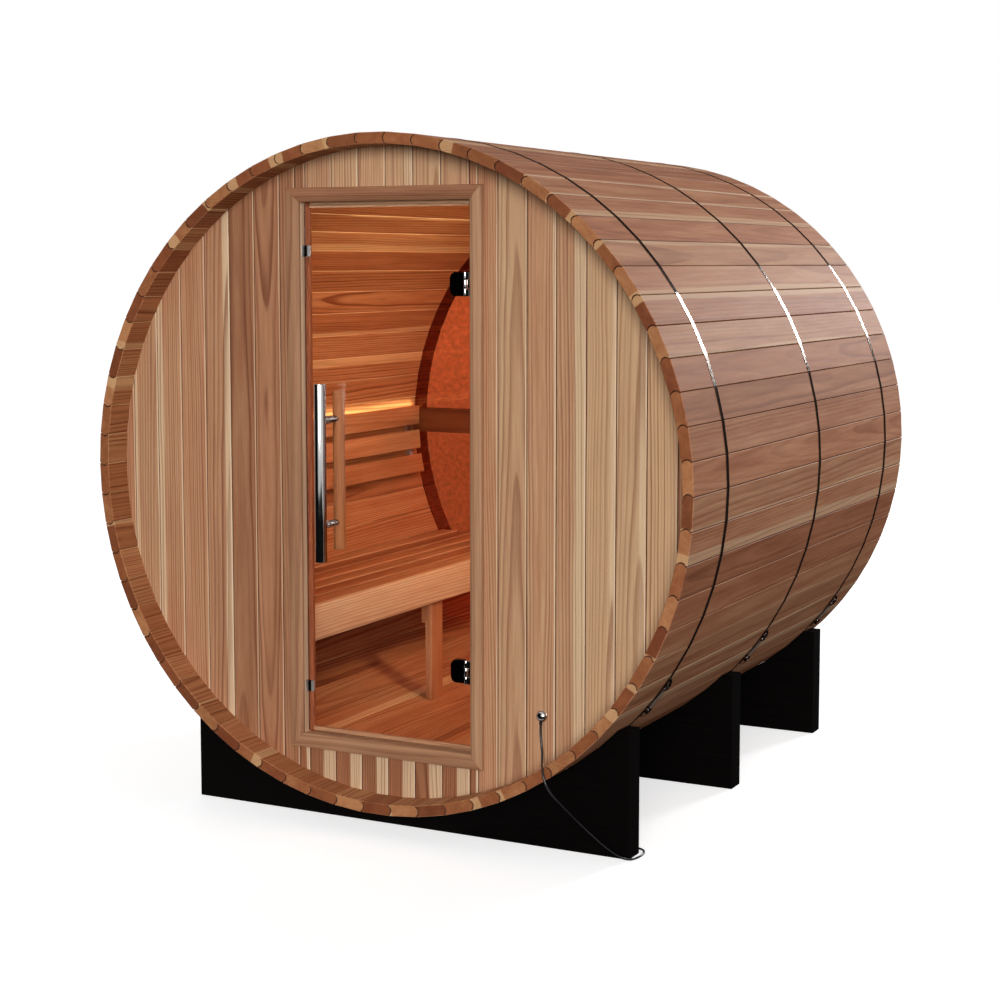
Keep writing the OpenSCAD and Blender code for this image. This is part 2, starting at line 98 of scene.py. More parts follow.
LENS, SENSOR, CLIP_END = 69.2, 36, 200
VIEW_SHIFT = -0.05
CAMERA_AT = (2.737, -5.5216, 1.6203)
CAMERA_YAW, CAMERA_PITCH = math.radians(27.22), math.radians(5.548)


def link(name, data):
    """A new object in the scene that shows the data."""
    made = bpy.data.objects.new(name, data)
    bpy.context.scene.collection.objects.link(made)
    return made


def add_camera():
    """The photograph's view: from the front right, a little above the door's middle."""
    data = bpy.data.cameras.new("camera")
    data.lens = LENS
    data.sensor_width = SENSOR
    data.shift_y = VIEW_SHIFT
    data.clip_end = CLIP_END
    camera = link("camera", data)
    camera.location = CAMERA_AT
    camera.rotation_euler = (math.pi / 2 - CAMERA_PITCH, 0, CAMERA_YAW)
    bpy.context.scene.camera = camera


# -------- shader graphs

def linear(red, green, blue):
    """A colour given as 0 to 255 in sRGB, as the linear numbers that a shader takes."""
    def channel(value):
        value /= 255
        return value / 12.92 if value <= 0.04045 else ((value + 0.055) / 1.055) ** 2.4
    return (channel(red), channel(green), channel(blue), 1)


class Graph:
    """Short words for building one material's nodes."""

    def __init__(self, owner, output="Material"):
        self.material = bpy.data.materials.new(owner) if isinstance(owner, str) else owner
        self.material.use_nodes = True
        self.tree = self.material.node_tree
        self.tree.nodes.clear()
        self.output = self.tree.nodes.new("ShaderNodeOutput" + output)

    def put(self, target, value):
        """A socket's value: a link, a constant, or None to leave it as it is."""
        if isinstance(value, bpy.types.NodeSocket):
            self.tree.links.new(value, target)
        elif value is not None:
            target.default_value = value

    def node(self, kind, settings=None, values=(), **inputs):
        """A node with its settings, the values of its first sockets, and of sockets by name."""
        made = self.tree.nodes.new("ShaderNode" + kind)
        for key, value in (settings or {}).items():
            setattr(made, key, value)
        for socket, value in zip(made.inputs, values):
            self.put(socket, value)
        for key, value in inputs.items():
            self.put(made.inputs[key.replace("_", " ")], value)
        return made

    def math(self, operation, *values, clamp=False):
        return self.node("Math", {"operation": operation, "use_clamp": clamp}, values).outputs[0]

    def plus(self, a, b):
        return self.math("ADD", a, b)

    def minus(self, a, b):
        return self.math("SUBTRACT", a, b)

    def times(self, a, b):
        return self.math("MULTIPLY", a, b)

    def scaled(self, value, factor, offset):
        return self.math("MULTIPLY_ADD", value, factor, offset)

    def place(self):
        """The point in the object's own frame."""
        return self.node("TexCoord").outputs["Object"]

    def stretched(self, vector, *factors):
        """The vector with a factor on each axis."""
        return self.node("VectorMath", {"operation": "MULTIPLY"}, (vector, factors)).outputs[0]

    def attribute(self, name):
        """The three numbers of a point's own attribute."""
        made = self.node("Attribute", {"attribute_name": name})
        return self.node("SeparateXYZ", Vector=made.outputs["Vector"]).outputs

    def vector(self, x, y, z):
        return self.node("CombineXYZ", X=x, Y=y, Z=z).outputs[0]

    def noise(self, vector, scale=1.0, detail=2.0, roughness=0.5):
        return self.node("TexNoise", Vector=vector, Scale=scale, Detail=detail,
                         Roughness=roughness).outputs["Fac"]

    def ramp(self, value, *stops):
        made = self.node("ValToRGB", None, (value,))
        elements = made.color_ramp.elements
        while len(elements) < len(stops):
            elements.new(1)
        for element, (place, colour) in zip(elements, stops):
            element.position = place
            element.color = colour
        return made.outputs["Color"]

    def mix(self, share, a, b, blend="MIX"):
        """A mix of two colours, which are the mix node's seventh and eighth sockets."""
        settings = {"data_type": "RGBA", "blend_type": blend}
        return self.node("Mix", settings, (share, *[None] * 5, a, b)).outputs[2]

    def step(self, value, low, high):
        """0 below low, 1 above high, smooth between."""
        made = self.node("MapRange", {"interpolation_type": "SMOOTHSTEP"},
                         Value=value, From_Min=low, From_Max=high)
        return made.outputs[0]

    def bump(self, height, distance, strength=1.0):
        return self.node("Bump", Height=height, Distance=distance, Strength=strength).outputs[0]

    def surface(self, **inputs):
        shader = self.node("BsdfPrincipled", **inputs)
        self.put(self.output.inputs[0], shader.outputs[0])
        return shader

    def mixed(self, share, first, second):
        """The output gets a mix of two shaders, which are given by their sockets."""
        both = self.node("MixShader", None, (share, first, second))
        self.put(self.output.inputs[0], both.outputs[0])

    def background_ray(self):
        """1 where the eye, a reflection or a look through glass meets this, 0 for light's bounces."""
        path = self.node("LightPath").outputs
        by_glass = self.math("MAXIMUM", path["Is Glossy Ray"], path["Is Transmission Ray"])
        return self.math("MAXIMUM", path["Is Camera Ray"], by_glass)


def grey(value):
    """An even grey, given as a linear number."""
    return (value, value, value, 1)


def wood(name, *colours, ring=0.0075, line_strength=0.5, fibre=0.22, roughness=0.62, sheen=0.2,
         streak=0.55, end=False):
    """Solid softwood. Growth rings run round a pith that lies off each board, so faces get
    straight grain or long arches and ends get arcs. The boards' own attributes are "place", the
    point in the board's frame (across, along, deep), and "board", its seed, tone and sapwood.
    The colours are sRGB: pale, middle and deep wood, the rings' dark lines, and sapwood."""
    pale, middle, deep, line, sapwood = (linear(*colour) for colour in colours)
    g = Graph(name)
    u, v, w = g.attribute("place")
    seed, tone, sap = g.attribute("board")
    if end:
        tone = g.node("Attribute", {"attribute_name": "end_tone"}).outputs["Fac"]
    one_number = {"noise_dimensions": "1D"}
    random_colour = g.node("TexWhiteNoise", one_number, W=g.times(seed, 97.31)).outputs["Color"]
    r1, r2, r3 = g.node("SeparateXYZ", Vector=random_colour).outputs
    # Each board is cut from its own place in the noise, which bends the rings a little
    point = g.vector(u, g.plus(v, g.times(seed, 53.0)), w)
    warp = g.minus(g.noise(g.stretched(point, 9.0, 1.3, 9.0), 1.0, 2.0), 0.5)
    # The pith lies up to 100 mm aside and 25 to 125 mm below, and runs a little aslant
    from_pith_u = g.minus(u, g.scaled(r1, 0.20, -0.10))
    from_pith_w = g.plus(w, g.scaled(r2, 0.10, 0.025))
    squares = g.plus(g.times(from_pith_u, from_pith_u), g.times(from_pith_w, from_pith_w))
    taper = g.times(g.scaled(r3, 0.03, -0.015), v)
    radius = g.plus(g.plus(g.math("SQRT", squares), taper), g.times(warp, 0.016))
    count = g.math("DIVIDE", radius, g.times(g.scaled(r3, 0.7, 0.65), ring))
    # In each ring the dark late wood comes on slowly and ends at once, stronger in some years
    phase = g.math("FRACT", count)
    late = g.times(g.step(phase, 0.30, 0.88), g.minus(1.0, g.step(phase, 0.90, 1.0)))
    ring_seed = g.node("TexWhiteNoise", one_number, W=g.math("FLOOR", count)).outputs["Value"]
    late = g.times(late, g.scaled(ring_seed, 0.75, 0.25))
    fibres = g.noise(g.stretched(point, 420.0, 7.0, 420.0), 1.0, 3.0, 0.6)
    cloud = g.noise(g.stretched(point, 26.0, 1.6, 26.0), 1.0, 5.0, 0.72)
    # The board's tone, streaked by the cloud and tinted a little redder or greener
    shade = g.plus(tone, g.scaled(cloud, 2 * streak, -streak))
    colour = g.ramp(shade, (0.0, pale), (0.5, middle), (1.0, deep))
    hue = g.mix(r3, (1.03, 0.97, 0.94, 1), (0.97, 1.01, 1.0, 1))
    colour = g.mix(1.0, colour, hue, "MULTIPLY")
    # Pale sapwood along one edge, wider where the board's sapwood number is larger
    sap_share = g.math("ABSOLUTE", sap)
    reach = g.minus(0.048, g.times(sap_share, 0.045))
    from_edge = g.minus(g.times(u, g.math("SIGN", sap)), reach)
    from_edge = g.plus(from_edge, g.times(warp, 0.03))
    in_sap = g.times(g.step(from_edge, -0.002, 0.003), g.math("GREATER_THAN", sap_share, 0.05))
    colour = g.mix(g.times(in_sap, 0.8), colour, sapwood)
    colour = g.mix(g.times(late, line_strength), colour, line, "MULTIPLY")
    light = g.scaled(fibres, fibre * 2, 1 - fibre)
    grain_grey = g.node("CombineColor", Red=light, Green=light, Blue=light).outputs[0]
    colour = g.mix(1.0, colour, grain_grey, "MULTIPLY")
    height = g.scaled(late, 0.5, g.times(fibres, 0.7))
    normal = g.bump(height, 0.0006 if end else 0.0004, 0.5)
    rough = g.scaled(fibres, 0.16, roughness - 0.08)
    g.surface(Base_Color=colour, Roughness=rough, Normal=normal, Specular_IOR_Level=sheen)
    return g.material


def metal(name, colour, roughness, streaks=0.0, stretch=(1.0, 1.0, 1.0), weight=1.0):
    """Polished or brushed metal, with faint smears so that it isn't perfectly even."""
    g = Graph(name)
    smear = g.noise(g.stretched(g.place(), *stretch), 30.0, 3.0)
    rough = g.math("MULTIPLY_ADD", smear, 0.10 + streaks, roughness - 0.04, clamp=True)
    normal = g.bump(smear, 0.00005, 0.3)
    g.surface(Base_Color=colour, Metallic=weight, Roughness=rough, Normal=normal)
    return g.material


def plastic(name, colour, roughness, texture=0.00008):
    """Moulded plastic or a dark pane edge, with a fine grain and faint smudges."""
    g = Graph(name)
    grain = g.noise(g.place(), 900.0, 2.0)
    smudge = g.noise(g.place(), 12.0, 3.0)
    rough = g.scaled(smudge, 0.15, roughness - 0.07)
    paler = tuple(min(1.0, c * 1.5 + 0.004) for c in colour[:3]) + (1,)
    shade = g.mix(g.times(smudge, 0.5), colour, paler)
    g.surface(Base_Color=shade, Roughness=rough, Normal=g.bump(grain, texture, 0.6))
    return g.material


def glass(name, tint, shadow, mottle=0.0, specular=0.5):
    """Flat glass. Shadow rays pass it, so the lamps reach what is behind."""
    g = Graph(name)
    waves = g.bump(g.noise(g.place(), 3.0, 1.0), 0.0002, 0.2)
    colour = tint
    if mottle:
        speck = g.noise(g.place(), 60.0, 4.0, 0.7)
        dark = tuple(c * (1 - mottle) for c in tint[:3]) + (1,)
        colour = g.mix(g.step(speck, 0.35, 0.65), dark, tint)
    shader = g.surface(Base_Color=colour, Roughness=0.0, Transmission_Weight=1.0, IOR=1.45,
                       Normal=waves, Specular_IOR_Level=specular)
    clear = g.node("BsdfTransparent", Color=shadow).outputs[0]
    g.mixed(g.node("LightPath").outputs["Is Shadow Ray"], shader.outputs[0], clear)
    return g.material


def black_stain(name):
    """Black stained boards: almost black, matt, with the grain just showing as a sheen."""
    g = Graph(name)
    grain = g.noise(g.stretched(g.place(), 6.0, 160.0, 160.0), 1.0, 4.0, 0.6)
    colour = g.ramp(grain, (0.3, linear(3, 2, 2)), (0.75, linear(9, 6, 5)))
    g.surface(Base_Color=colour, Roughness=g.scaled(grain, 0.2, 0.6),
              Normal=g.bump(grain, 0.0005, 0.6), Specular_IOR_Level=0.03)
    return g.material


def glow(name, colour, strength):
    """A lit cover with a faint unevenness."""
    g = Graph(name)
    diffuser = g.noise(g.place(), 40.0, 2.0)
    shade = g.mix(g.times(diffuser, 0.3), colour, linear(255, 225, 170))
    g.surface(Base_Color=shade, Roughness=0.5, Emission_Color=colour, Emission_Strength=strength)
    return g.material


# -------- materials

MAT = {
    "stave_out": wood("stave_outside", (200, 148, 113), (174, 116, 83), (144, 87, 59), (140, 84, 60),
        (208, 168, 132), line_strength=0.45, streak=0.75, sheen=0.14),
    "stave_in": wood("stave_inside", (204, 152, 106), (176, 114, 74), (140, 82, 50), (138, 70, 42),
        (216, 170, 122), line_strength=0.85),
    # Pale wood for one eased inner edge of each stave: a painted highlight
    "stave_edge_painted_highlight": wood("stave_eased_edge_painted_highlight", (236, 196, 150), (222, 178, 130), (200, 150, 106),
        (180, 130, 90), (236, 196, 150)),
    "stave_end": wood("stave_end_grain", (184, 130, 86), (150, 90, 54), (118, 62, 34), (136, 80, 50),
        (204, 160, 114), ring=0.0042, line_strength=0.6, fibre=0.15, roughness=0.7, end=True),
    "wall": wood("wall_boards", (200, 161, 124), (180, 130, 97), (148, 97, 67), (150, 94, 66),
        (214, 184, 148), ring=0.0062, line_strength=0.75, fibre=0.26),
    # Pale wood for the bevels and the jamb that face the light: a painted highlight
    "wall_arris_painted_highlight": wood("wall_board_arris_painted_highlight", (226, 194, 160), (216, 178, 144), (196, 152, 120),
        (180, 130, 100), (230, 200, 166)),
    # Dark wood for board joints and stave seams: a painted shade
    "joint": wood("board_joint_shade", (104, 66, 44), (84, 50, 32), (64, 36, 22), (60, 36, 22),
        (104, 66, 44)),
    "casing": wood("casing_boards", (188, 146, 112), (168, 122, 90), (136, 90, 64), (150, 98, 70),
        (198, 162, 126), line_strength=0.6),
    "bench": wood("bench_boards", (206, 152, 108), (178, 114, 74), (140, 80, 48), (146, 80, 50),
        (216, 168, 120), line_strength=0.45),
    # Darker than the other cedar: a painted shade on the backlit rail
    "rail": wood("rail_board_painted_shade", (142, 76, 40), (120, 57, 25), (98, 41, 17), (104, 47, 20), (146, 80, 42)),
    # A paler, less red copy of the bench wood: painted light on the front board, and a painted highlight on
    # the slats' upper right edges
    "fascia": wood("bench_front_board_painted_light", (216, 176, 138), (196, 144, 106), (158, 104, 70), (150, 90, 60),
        (220, 182, 140), line_strength=0.5),
    "handle_wood": wood("handle_turned_wood", (176, 118, 74), (156, 96, 56), (128, 74, 42), (140, 80, 48),
        (186, 134, 90), ring=0.0042, line_strength=0.5),
    "polished": metal("polished_steel", (0.60, 0.58, 0.56, 1), 0.07),
    "satin": metal("satin_steel", (0.62, 0.60, 0.58, 1), 0.25, weight=0.7),
    # Darker than the frame wood: a painted shade on the side stops
    "stop": wood("door_stop_wood_painted_shade", (156, 92, 60), (138, 76, 46), (116, 60, 36), (120, 64, 40),
        (160, 98, 66)),
    # Darker than bare steel: a painted dark reflection on the clamps
    "clamp_steel_painted_dark_reflection": metal("clamp_steel_painted_dark_reflection", (0.20, 0.18, 0.165, 1), 0.16),
    # Dark brown steel: a painted dark reflection on the bands
    "band": metal("band_steel_painted_dark_reflection", (0.10, 0.066, 0.050, 1), 0.13, stretch=(1.0, 0.2, 1.0), weight=0.8),
    "strip": metal("brushed_strip", (0.60, 0.59, 0.58, 1), 0.32, 0.1),
    # Darker than bare steel: a painted dark reflection on the cable cap's dome
    "dome": metal("dome_steel_painted_dark_reflection", (0.42, 0.40, 0.38, 1), 0.10),
    "hinge_black": metal("hinge_plate_dark", (0.02, 0.02, 0.02, 1), 0.2),
    "cradle": black_stain("cradle_black_stain"),
    "door_glass": glass("door_clear_glass", (0.97, 0.96, 0.95, 1), grey(0.6), specular=0.3),
    "bronze": glass("bronze_glass", (0.565, 0.088, 0.0235, 1), (0.46, 0.076, 0.019, 1), 0.3, 0.1),
    "glass_edge": plastic("door_glass_edge", linear(52, 26, 15), 0.25),
    "lead": plastic("lead_rubber", linear(8, 7, 7), 0.28),
    "plug": plastic("plug_moulding", linear(30, 29, 29), 0.45),
    "glow": glow("strip_light_cover", linear(255, 190, 100), 1.6),
}


# -------- mesh building

EVEN_BOARD = (0.5, 0.5, 0.0)


class Piece:
    """Collects closed solids, each with its board's attributes, and makes one object of them."""

    def __init__(self, name, *materials):
        self.name = name
        self.materials = materials
        self.points, self.faces, self.slots = [], [], []
        self.place, self.board, self.end_tone = [], [], []

    def solid(self, points, faces, slots=None, place=None, board=EVEN_BOARD, turned=False):
        """Adds one closed solid. turned says that its faces' points run the wrong way round."""
        base = len(self.points)
        self.points += [tuple(p) for p in points]
        order = -1 if turned else 1
        self.faces += [tuple(base + i for i in f[::order]) for f in faces]
        self.slots += [0] * len(faces) if slots is None else slots
        self.place += [tuple(p) for p in (points if place is None else place)]
        self.board += [board[:3]] * len(points)
        self.end_tone += [board[-1] if len(board) == 4 else board[1]] * len(points)

    def prism(self, outline, ends, spot, board=EVEN_BOARD, slots=None, turned=False):
        """A solid with the same outline at two ends. spot gives the point in space and the point
        in the board from an end and a point of the outline."""
        pairs = [spot(end, *point) for end in ends for point in outline]
        points, place = zip(*pairs)
        self.solid(points, loft_faces(2, len(outline)), slots, place, board, turned)

    def build(self, body=ROOT, slot=None, replaces=(), smooth=35):
        """Makes the object, which rides on the body and stands for the CAD nodes it replaces."""
        mesh = bpy.data.meshes.new(self.name)
        mesh.from_pydata(self.points, [], self.faces)
        for name, values in (("place", self.place), ("board", self.board)):
            layer = mesh.attributes.new(name, "FLOAT_VECTOR", "POINT")
            layer.data.foreach_set("vector", [c for value in values for c in value])
        mesh.attributes.new("end_tone", "FLOAT", "POINT").data.foreach_set("value", self.end_tone)
        for key in self.materials:
            mesh.materials.append(MAT[key])
        mesh.polygons.foreach_set("material_index", self.slots)
        mesh.validate()
        mesh.shade_smooth()
        mesh.set_sharp_from_angle(angle=math.radians(smooth))
        made = link(self.name, mesh)
        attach(made, body)
        if replaces:
            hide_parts(*replaces)
        return made


def loft_faces(rings, count, loop=False):
    """Faces of a stack of rings with count points each: with flat caps, or as a closed loop."""
    faces = []
    for r in range(rings if loop else rings - 1):
        near, far = r * count, (r + 1) % rings * count
        for k in range(count):
            following = (k + 1) % count
            faces.append((near + k, near + following, far + following, far + k))
    if not loop:
        faces.append(tuple(reversed(range(count))))
        faces.append(tuple((rings - 1) * count + k for k in range(count)))
    return faces


def spoke(angle):
    """Directions outwards and along the rim, at an angle from +X towards +Z."""
    return Vector((math.cos(angle), 0, math.sin(angle))), Vector((-math.sin(angle), 0, math.cos(angle)))


def rounded_rectangle(half_u, half_w, radius, steps=3):
    """Outline of a rectangle with rounded corners, anticlockwise."""
    points = []
    for corner, (su, sw) in enumerate(((1, 1), (-1, 1), (-1, -1), (1, -1))):
        for k in range(steps + 1):
            a = math.pi / 2 * (corner + k / steps)
            points.append((su * (half_u - radius) + radius * math.cos(a),
                           sw * (half_w - radius) + radius * math.sin(a)))
    return points


class Boards:
    """Hands out each board's seed, tone and sapwood, in a fixed order."""

    def __init__(self, seed, middle=0.5, spread=0.3, sap_share=0.4):
        self.random = random.Random(seed)
        self.middle, self.spread, self.sap_share = middle, spread, sap_share

    def next(self, tone=None):
        """The next board's numbers. A tone that is given takes the place of the one drawn."""
        draw = self.random
        shade = self.middle + self.spread * draw.uniform(-1, 1)
        sap = draw.choice((-1, 1)) * draw.uniform(0.25, 0.9) if draw.random() < self.sap_share else 0.0
        seed = draw.random()
        return (seed, shade if tone is None else tone, sap)


UP, BACKWARDS, RIGHTWARDS = (0, 0, 1), (0, 1, 0), (1, 0, 0)
AXES = {
    "x": (Vector((0, 1, 0)), Vector((1, 0, 0)), Vector((0, 0, 1))),
    "y": (Vector((1, 0, 0)), Vector((0, 1, 0)), Vector((0, 0, 1))),
    "z": (Vector((1, 0, 0)), Vector((0, 0, 1)), Vector((0, 1, 0))),
}


def plank(piece, low, high, along="z", board=EVEN_BOARD, radius=0.003, slot=0, end_slot=None,
          arris=None, turn=None):
    """A board with eased edges that fills the box from low to high. along is the grain's axis.
    Its ends and its upper right edge may have slots of their own. turn is a matrix that moves it
    afterwards."""
    low, high = Vector(low), Vector(high)
    across, length, deep = AXES[along]
    centre, size = (low + high) / 2, high - low
    half_u, half_v, half_w = (abs(size.dot(a)) / 2 for a in (across, length, deep))
    radius = min(radius, half_u * 0.9, half_w * 0.9)
    outline = rounded_rectangle(half_u, half_w, radius)
    count = len(outline)
    points, place = [], []
    ease = radius * 0.6
    stations = ((-half_v, ease), (-half_v + ease, 0), (half_v - ease, 0), (half_v, ease))
    for v, inset in stations:
        for u, w in outline:
            uu = u * (half_u - inset) / half_u
            ww = w * (half_w - inset) / half_w
            point = centre + across * uu + length * v + deep * ww
            points.append(turn @ point if turn else point)
            place.append((uu, v, ww))
    faces = loft_faces(len(stations), count)
    handed = across.cross(deep).dot(length) * (turn.determinant() if turn else 1)
    edge = slot if arris is None else arris
    slots = [edge if f % count < 3 else slot for f in range(len(faces) - 2)]
    slots += [slot if end_slot is None else end_slot] * 2
    piece.solid(points, faces, slots, place, board, turned=handed < 0)


def lathe(piece, profile, origin, axis, sides=32, slot=0, board=EVEN_BOARD):
    """A turned solid. profile is (distance along the axis, radius) from end to end."""
    axis = Vector(axis).normalized()
    helper = Vector((0, 0, 1)) if abs(axis.z) < 0.9 else Vector((1, 0, 0))
    e1 = axis.cross(helper).normalized()
    e2 = axis.cross(e1)
    origin = Vector(origin)
    points, place = [], []
    for distance, radius in profile:
        for k in range(sides):
            a = 2 * math.pi * k / sides
            points.append(origin + axis * distance + (e1 * math.cos(a) + e2 * math.sin(a)) * radius)
            place.append((radius * math.cos(a), distance, radius * math.sin(a)))
    faces = loft_faces(len(profile), sides)
    piece.solid(points, faces, [slot] * len(faces), place, board)


def bar_profile(length, radius, edge, steps=4):
    """Profile of a round bar with rounded ends."""
    angles = [math.pi / 2 * k / steps for k in range(steps + 1)]
    rounding = [(edge * (1 - math.cos(a)), radius - edge + edge * math.sin(a)) for a in angles]
    return rounding + [(length - d, r) for d, r in reversed(rounding)]


# -------- barrel

def seam_line(steps=10):
    """One stave joint from the inner face to the outer: (distance from the inner face, bulge).
    The bulge is the bead on one stave and the cove in its neighbour."""
    shoulder, bulge = 0.0035, 0.0075
    span = STAVE_T - 2 * shoulder
    radius = (bulge ** 2 + (span / 2) ** 2) / (2 * bulge)
    points = [(0.0, 0.0)]
    for k in range(steps + 1):
        w = shoulder + span * k / steps
        offset = math.sqrt(radius ** 2 - (w - STAVE_T / 2) ** 2) - (radius - bulge)
        points.append((w, max(0.0, offset)))
    points.append((STAVE_T, 0.0))
    return points


def stave_section(grooved):
    """Section of a stave as (across, outwards from the inner face). Point count never changes."""
    ease = 0.0016
    lift = CROZE if grooved else 0.0

    def half(w):
        gap = SEAM_INSIDE + (SEAM_OUTSIDE - SEAM_INSIDE) * w / STAVE_T
        return (INNER_FLAT + w) * math.tan(STAVE_ANGLE / 2) - gap / 2

    right, left = [], []
    for w, bulge in seam_line():
        w = max(w, lift)
        bulge = bulge if w > lift else 0.0
        right.append((bulge + half(w), w))
        left.append((bulge - half(w), w))
    for side, sign in ((right, 1), (left, -1)):
        side[0] = (side[0][0] - sign * ease, side[0][1])
        side.insert(1, (sign * half(lift + ease), lift + ease))
        side[-1] = (sign * half(STAVE_T - ease), STAVE_T - ease)
        side.append((sign * (half(STAVE_T) - ease), STAVE_T))
    return right + list(reversed(left))


def stave_stations():
    """(place along the barrel, grooved, inset) of each ring of a stave."""
    ease = 0.0015
    stations = [(FRONT, False, ease), (FRONT + ease, False, 0)]
    for y0, y1 in ((WALL_FRONT, WALL_BACK), REAR_GROOVE):
        stations += [(y0, False, 0), (y0, True, 0), (y1, True, 0), (y1, False, 0)]
    return stations + [(REAR - ease, False, 0), (REAR, False, ease)]


INSET_SPAN = 0.045


def add_staves():
    """The barrel: eight runs of staves, each stave with bevelled ends and bead and cove joints."""
    pick = Boards(11, 0.5, 0.22, 0.45)
    plain, grooved = stave_section(False), stave_section(True)
    count = len(plain)
    stations = stave_stations()
    faces = loft_faces(len(stations), count)
    outside, inside, end, edge, joint = range(5)
    # The staves' sides get the dark joint wood, a painted shade in the seams
    around = [joint] * count
    around[count // 2 - 2:count // 2 + 1] = [outside] * 3
    around[0] = around[-1] = inside
    # One eased inner edge gets the pale edge wood, a painted highlight
    around[-2] = edge
    slots = around * (len(stations) - 1) + [end] * 2
    for node, indexes in STAVE_NODES.items():
        piece = Piece("staves_" + node.replace("_staves", ""),
                      "stave_out", "stave_in", "stave_end", "stave_edge_painted_highlight", "joint")
        for i in indexes:
            out, across = spoke(-math.pi / 2 + i * STAVE_ANGLE)
            base = Vector((0, 0, AXIS_Z)) + out * INNER_FLAT
            points, place = [], []
            for y, groove, inset in stations:
                for u, w in (grooved if groove else plain):
                    w = min(max(w, inset), STAVE_T - inset)
                    u = u * (1 - inset / INSET_SPAN)
                    points.append(base + across * u + out * w + Vector((0, y, 0)))
                    place.append((u, y, w))
            board = pick.next()
            rim = min(1.0, max(0.0, 0.60 + 0.20 * (-1) ** i + pick.random.uniform(-0.35, 0.35)))
            piece.solid(points, faces, slots, place, (*board, rim), turned=True)
        piece.build(ROOT, "stave_cedar", (node,), smooth=30)


# -------- front wall

def wall_edge(x, flat):
    """Height above the axis of the many-sided outline with that flat distance, at x."""
    radius = flat / math.cos(STAVE_ANGLE / 2)
    angle = math.acos(max(-1.0, min(1.0, x / radius)))
    k = math.floor(angle / STAVE_ANGLE)
    a0, a1 = k * STAVE_ANGLE, (k + 1) * STAVE_ANGLE
    x0, z0 = radius * math.cos(a0), radius * math.sin(a0)
    x1, z1 = radius * math.cos(a1), radius * math.sin(a1)
    share = 0.0 if abs(x1 - x0) < 1e-9 else min(1.0, max(0.0, (x - x0) / (x1 - x0)))
    return z0 + (z1 - z0) * share


def board_outline(x0, x1, y0, y1):
    """Section of a wall board: bevelled edges, a thin slot, and a tongue joint that touches."""
    bevel, slot_w, slot_d = 0.0028, 0.0007, 0.008
    inner = [x0 + (x1 - x0) * k / 6 for k in range(1, 6)]
    flat = [x0 + slot_w + bevel] + inner + [x1 - slot_w - bevel]

    def side(edge, wall):
        return [(wall, y0 + bevel), (wall, y0 + slot_d), (edge, y0 + slot_d),
                (edge, y1 - slot_d), (wall, y1 - slot_d), (wall, y1 - bevel)]

    front = [(x, y0) for x in flat]
    back = [(x, y1) for x in reversed(flat)]
    return front + side(x1, x1 - slot_w) + back + side(x0, x0 + slot_w)[::-1]


RIGHT_BEVEL = 6


def wall_board(piece, x0, x1, bottom, top, board):
    """An upright board between two heights, each a number or a function of x."""
    outline = board_outline(x0, x1, WALL_FRONT, WALL_BACK)
    middle, depth = (x0 + x1) / 2, (WALL_FRONT + WALL_BACK) / 2
    count = len(outline)
    slots = [0] * (count + 2)
    # The right bevel gets the pale arris wood, a painted highlight
    slots[RIGHT_BEVEL] = 1
    # The slot's faces and the left bevel get the dark joint wood, a painted shade
    for k in (RIGHT_BEVEL + 1, RIGHT_BEVEL + 2, count - 1, count - 2, count - 3):
        slots[k] = 2

    def spot(edge, x, y):
        z = edge(x) if callable(edge) else edge
        return (x, y, z), (x - middle, z, y - depth)

    piece.prism(outline, (bottom, top), spot, board, slots)


BOARD_PITCH = 0.088
BOARD_JOINT = -0.008
# Tones of the wall boards from left to right, pale 0 to deep 1, listed to follow the
# photograph's boards, then set against mean colours of the photograph and the render
# Partly painted light: the boards over the door, 9 to 13, are paler to offset the overhang's shade on them
WALL_TONES = [0.55, 0.35, 0.45, 0.45, 0.50, 0.85, 0.75, 0.80, 0.30, 0.05, 0.0,
              0.05, 0.15, 0.22, 0.40, 0.22, 0.28, 0.32, -0.1, 0.05, 0.05]


def add_front_wall():
    """Upright boards whose joints run through all four pieces of the wall."""
    pick = Boards(23, 0.35, 0.25, 0.5)
    reach = INNER_FLAT + CROZE - EDGE_CLEAR

    def top(x):
        return AXIS_Z + wall_edge(x, reach)

    def bottom(x):
        return AXIS_Z - wall_edge(x, reach)

    left_of_door, right_of_door = OPEN_LEFT - FRAME_T, OPEN_RIGHT + FRAME_T
    names = ("left", "right", "over_door", "under_door")
    pieces = {n: Piece("wall_" + n, "wall", "wall_arris_painted_highlight", "joint") for n in names}
    first = -math.floor((reach + BOARD_JOINT) / BOARD_PITCH) - 1
    joints = [max(-reach + 0.004, BOARD_JOINT + k * BOARD_PITCH) for k in range(first, -first + 1)]
    joints = [j for j in joints if j < reach - 0.03] + [reach - 0.004]
    for number, (x0, x1) in enumerate(zip(joints, joints[1:])):
        board = pick.next(WALL_TONES[number % len(WALL_TONES)])
        half_pale = (pick.next()[0], 1.0, 1.0)
        if x0 < left_of_door:
            wall_board(pieces["left"], x0, min(x1, left_of_door), bottom, top, board)
        if x1 > right_of_door:
            wall_board(pieces["right"], max(x0, right_of_door), x1, bottom, top, board)
        if x1 > left_of_door and x0 < right_of_door:
            a, b = max(x0, left_of_door), min(x1, right_of_door)
            if b - a > 0.008:
                wall_board(pieces["over_door"], a, b, OPEN_HIGH + FRAME_T, top, board)
                wall_board(pieces["under_door"], a, b, bottom, OPEN_LOW - FRAME_T, half_pale)
    for name, piece in pieces.items():
        piece.build(ROOT, "wall_cedar", ("front_wall_" + name,), smooth=20)


# -------- doorway

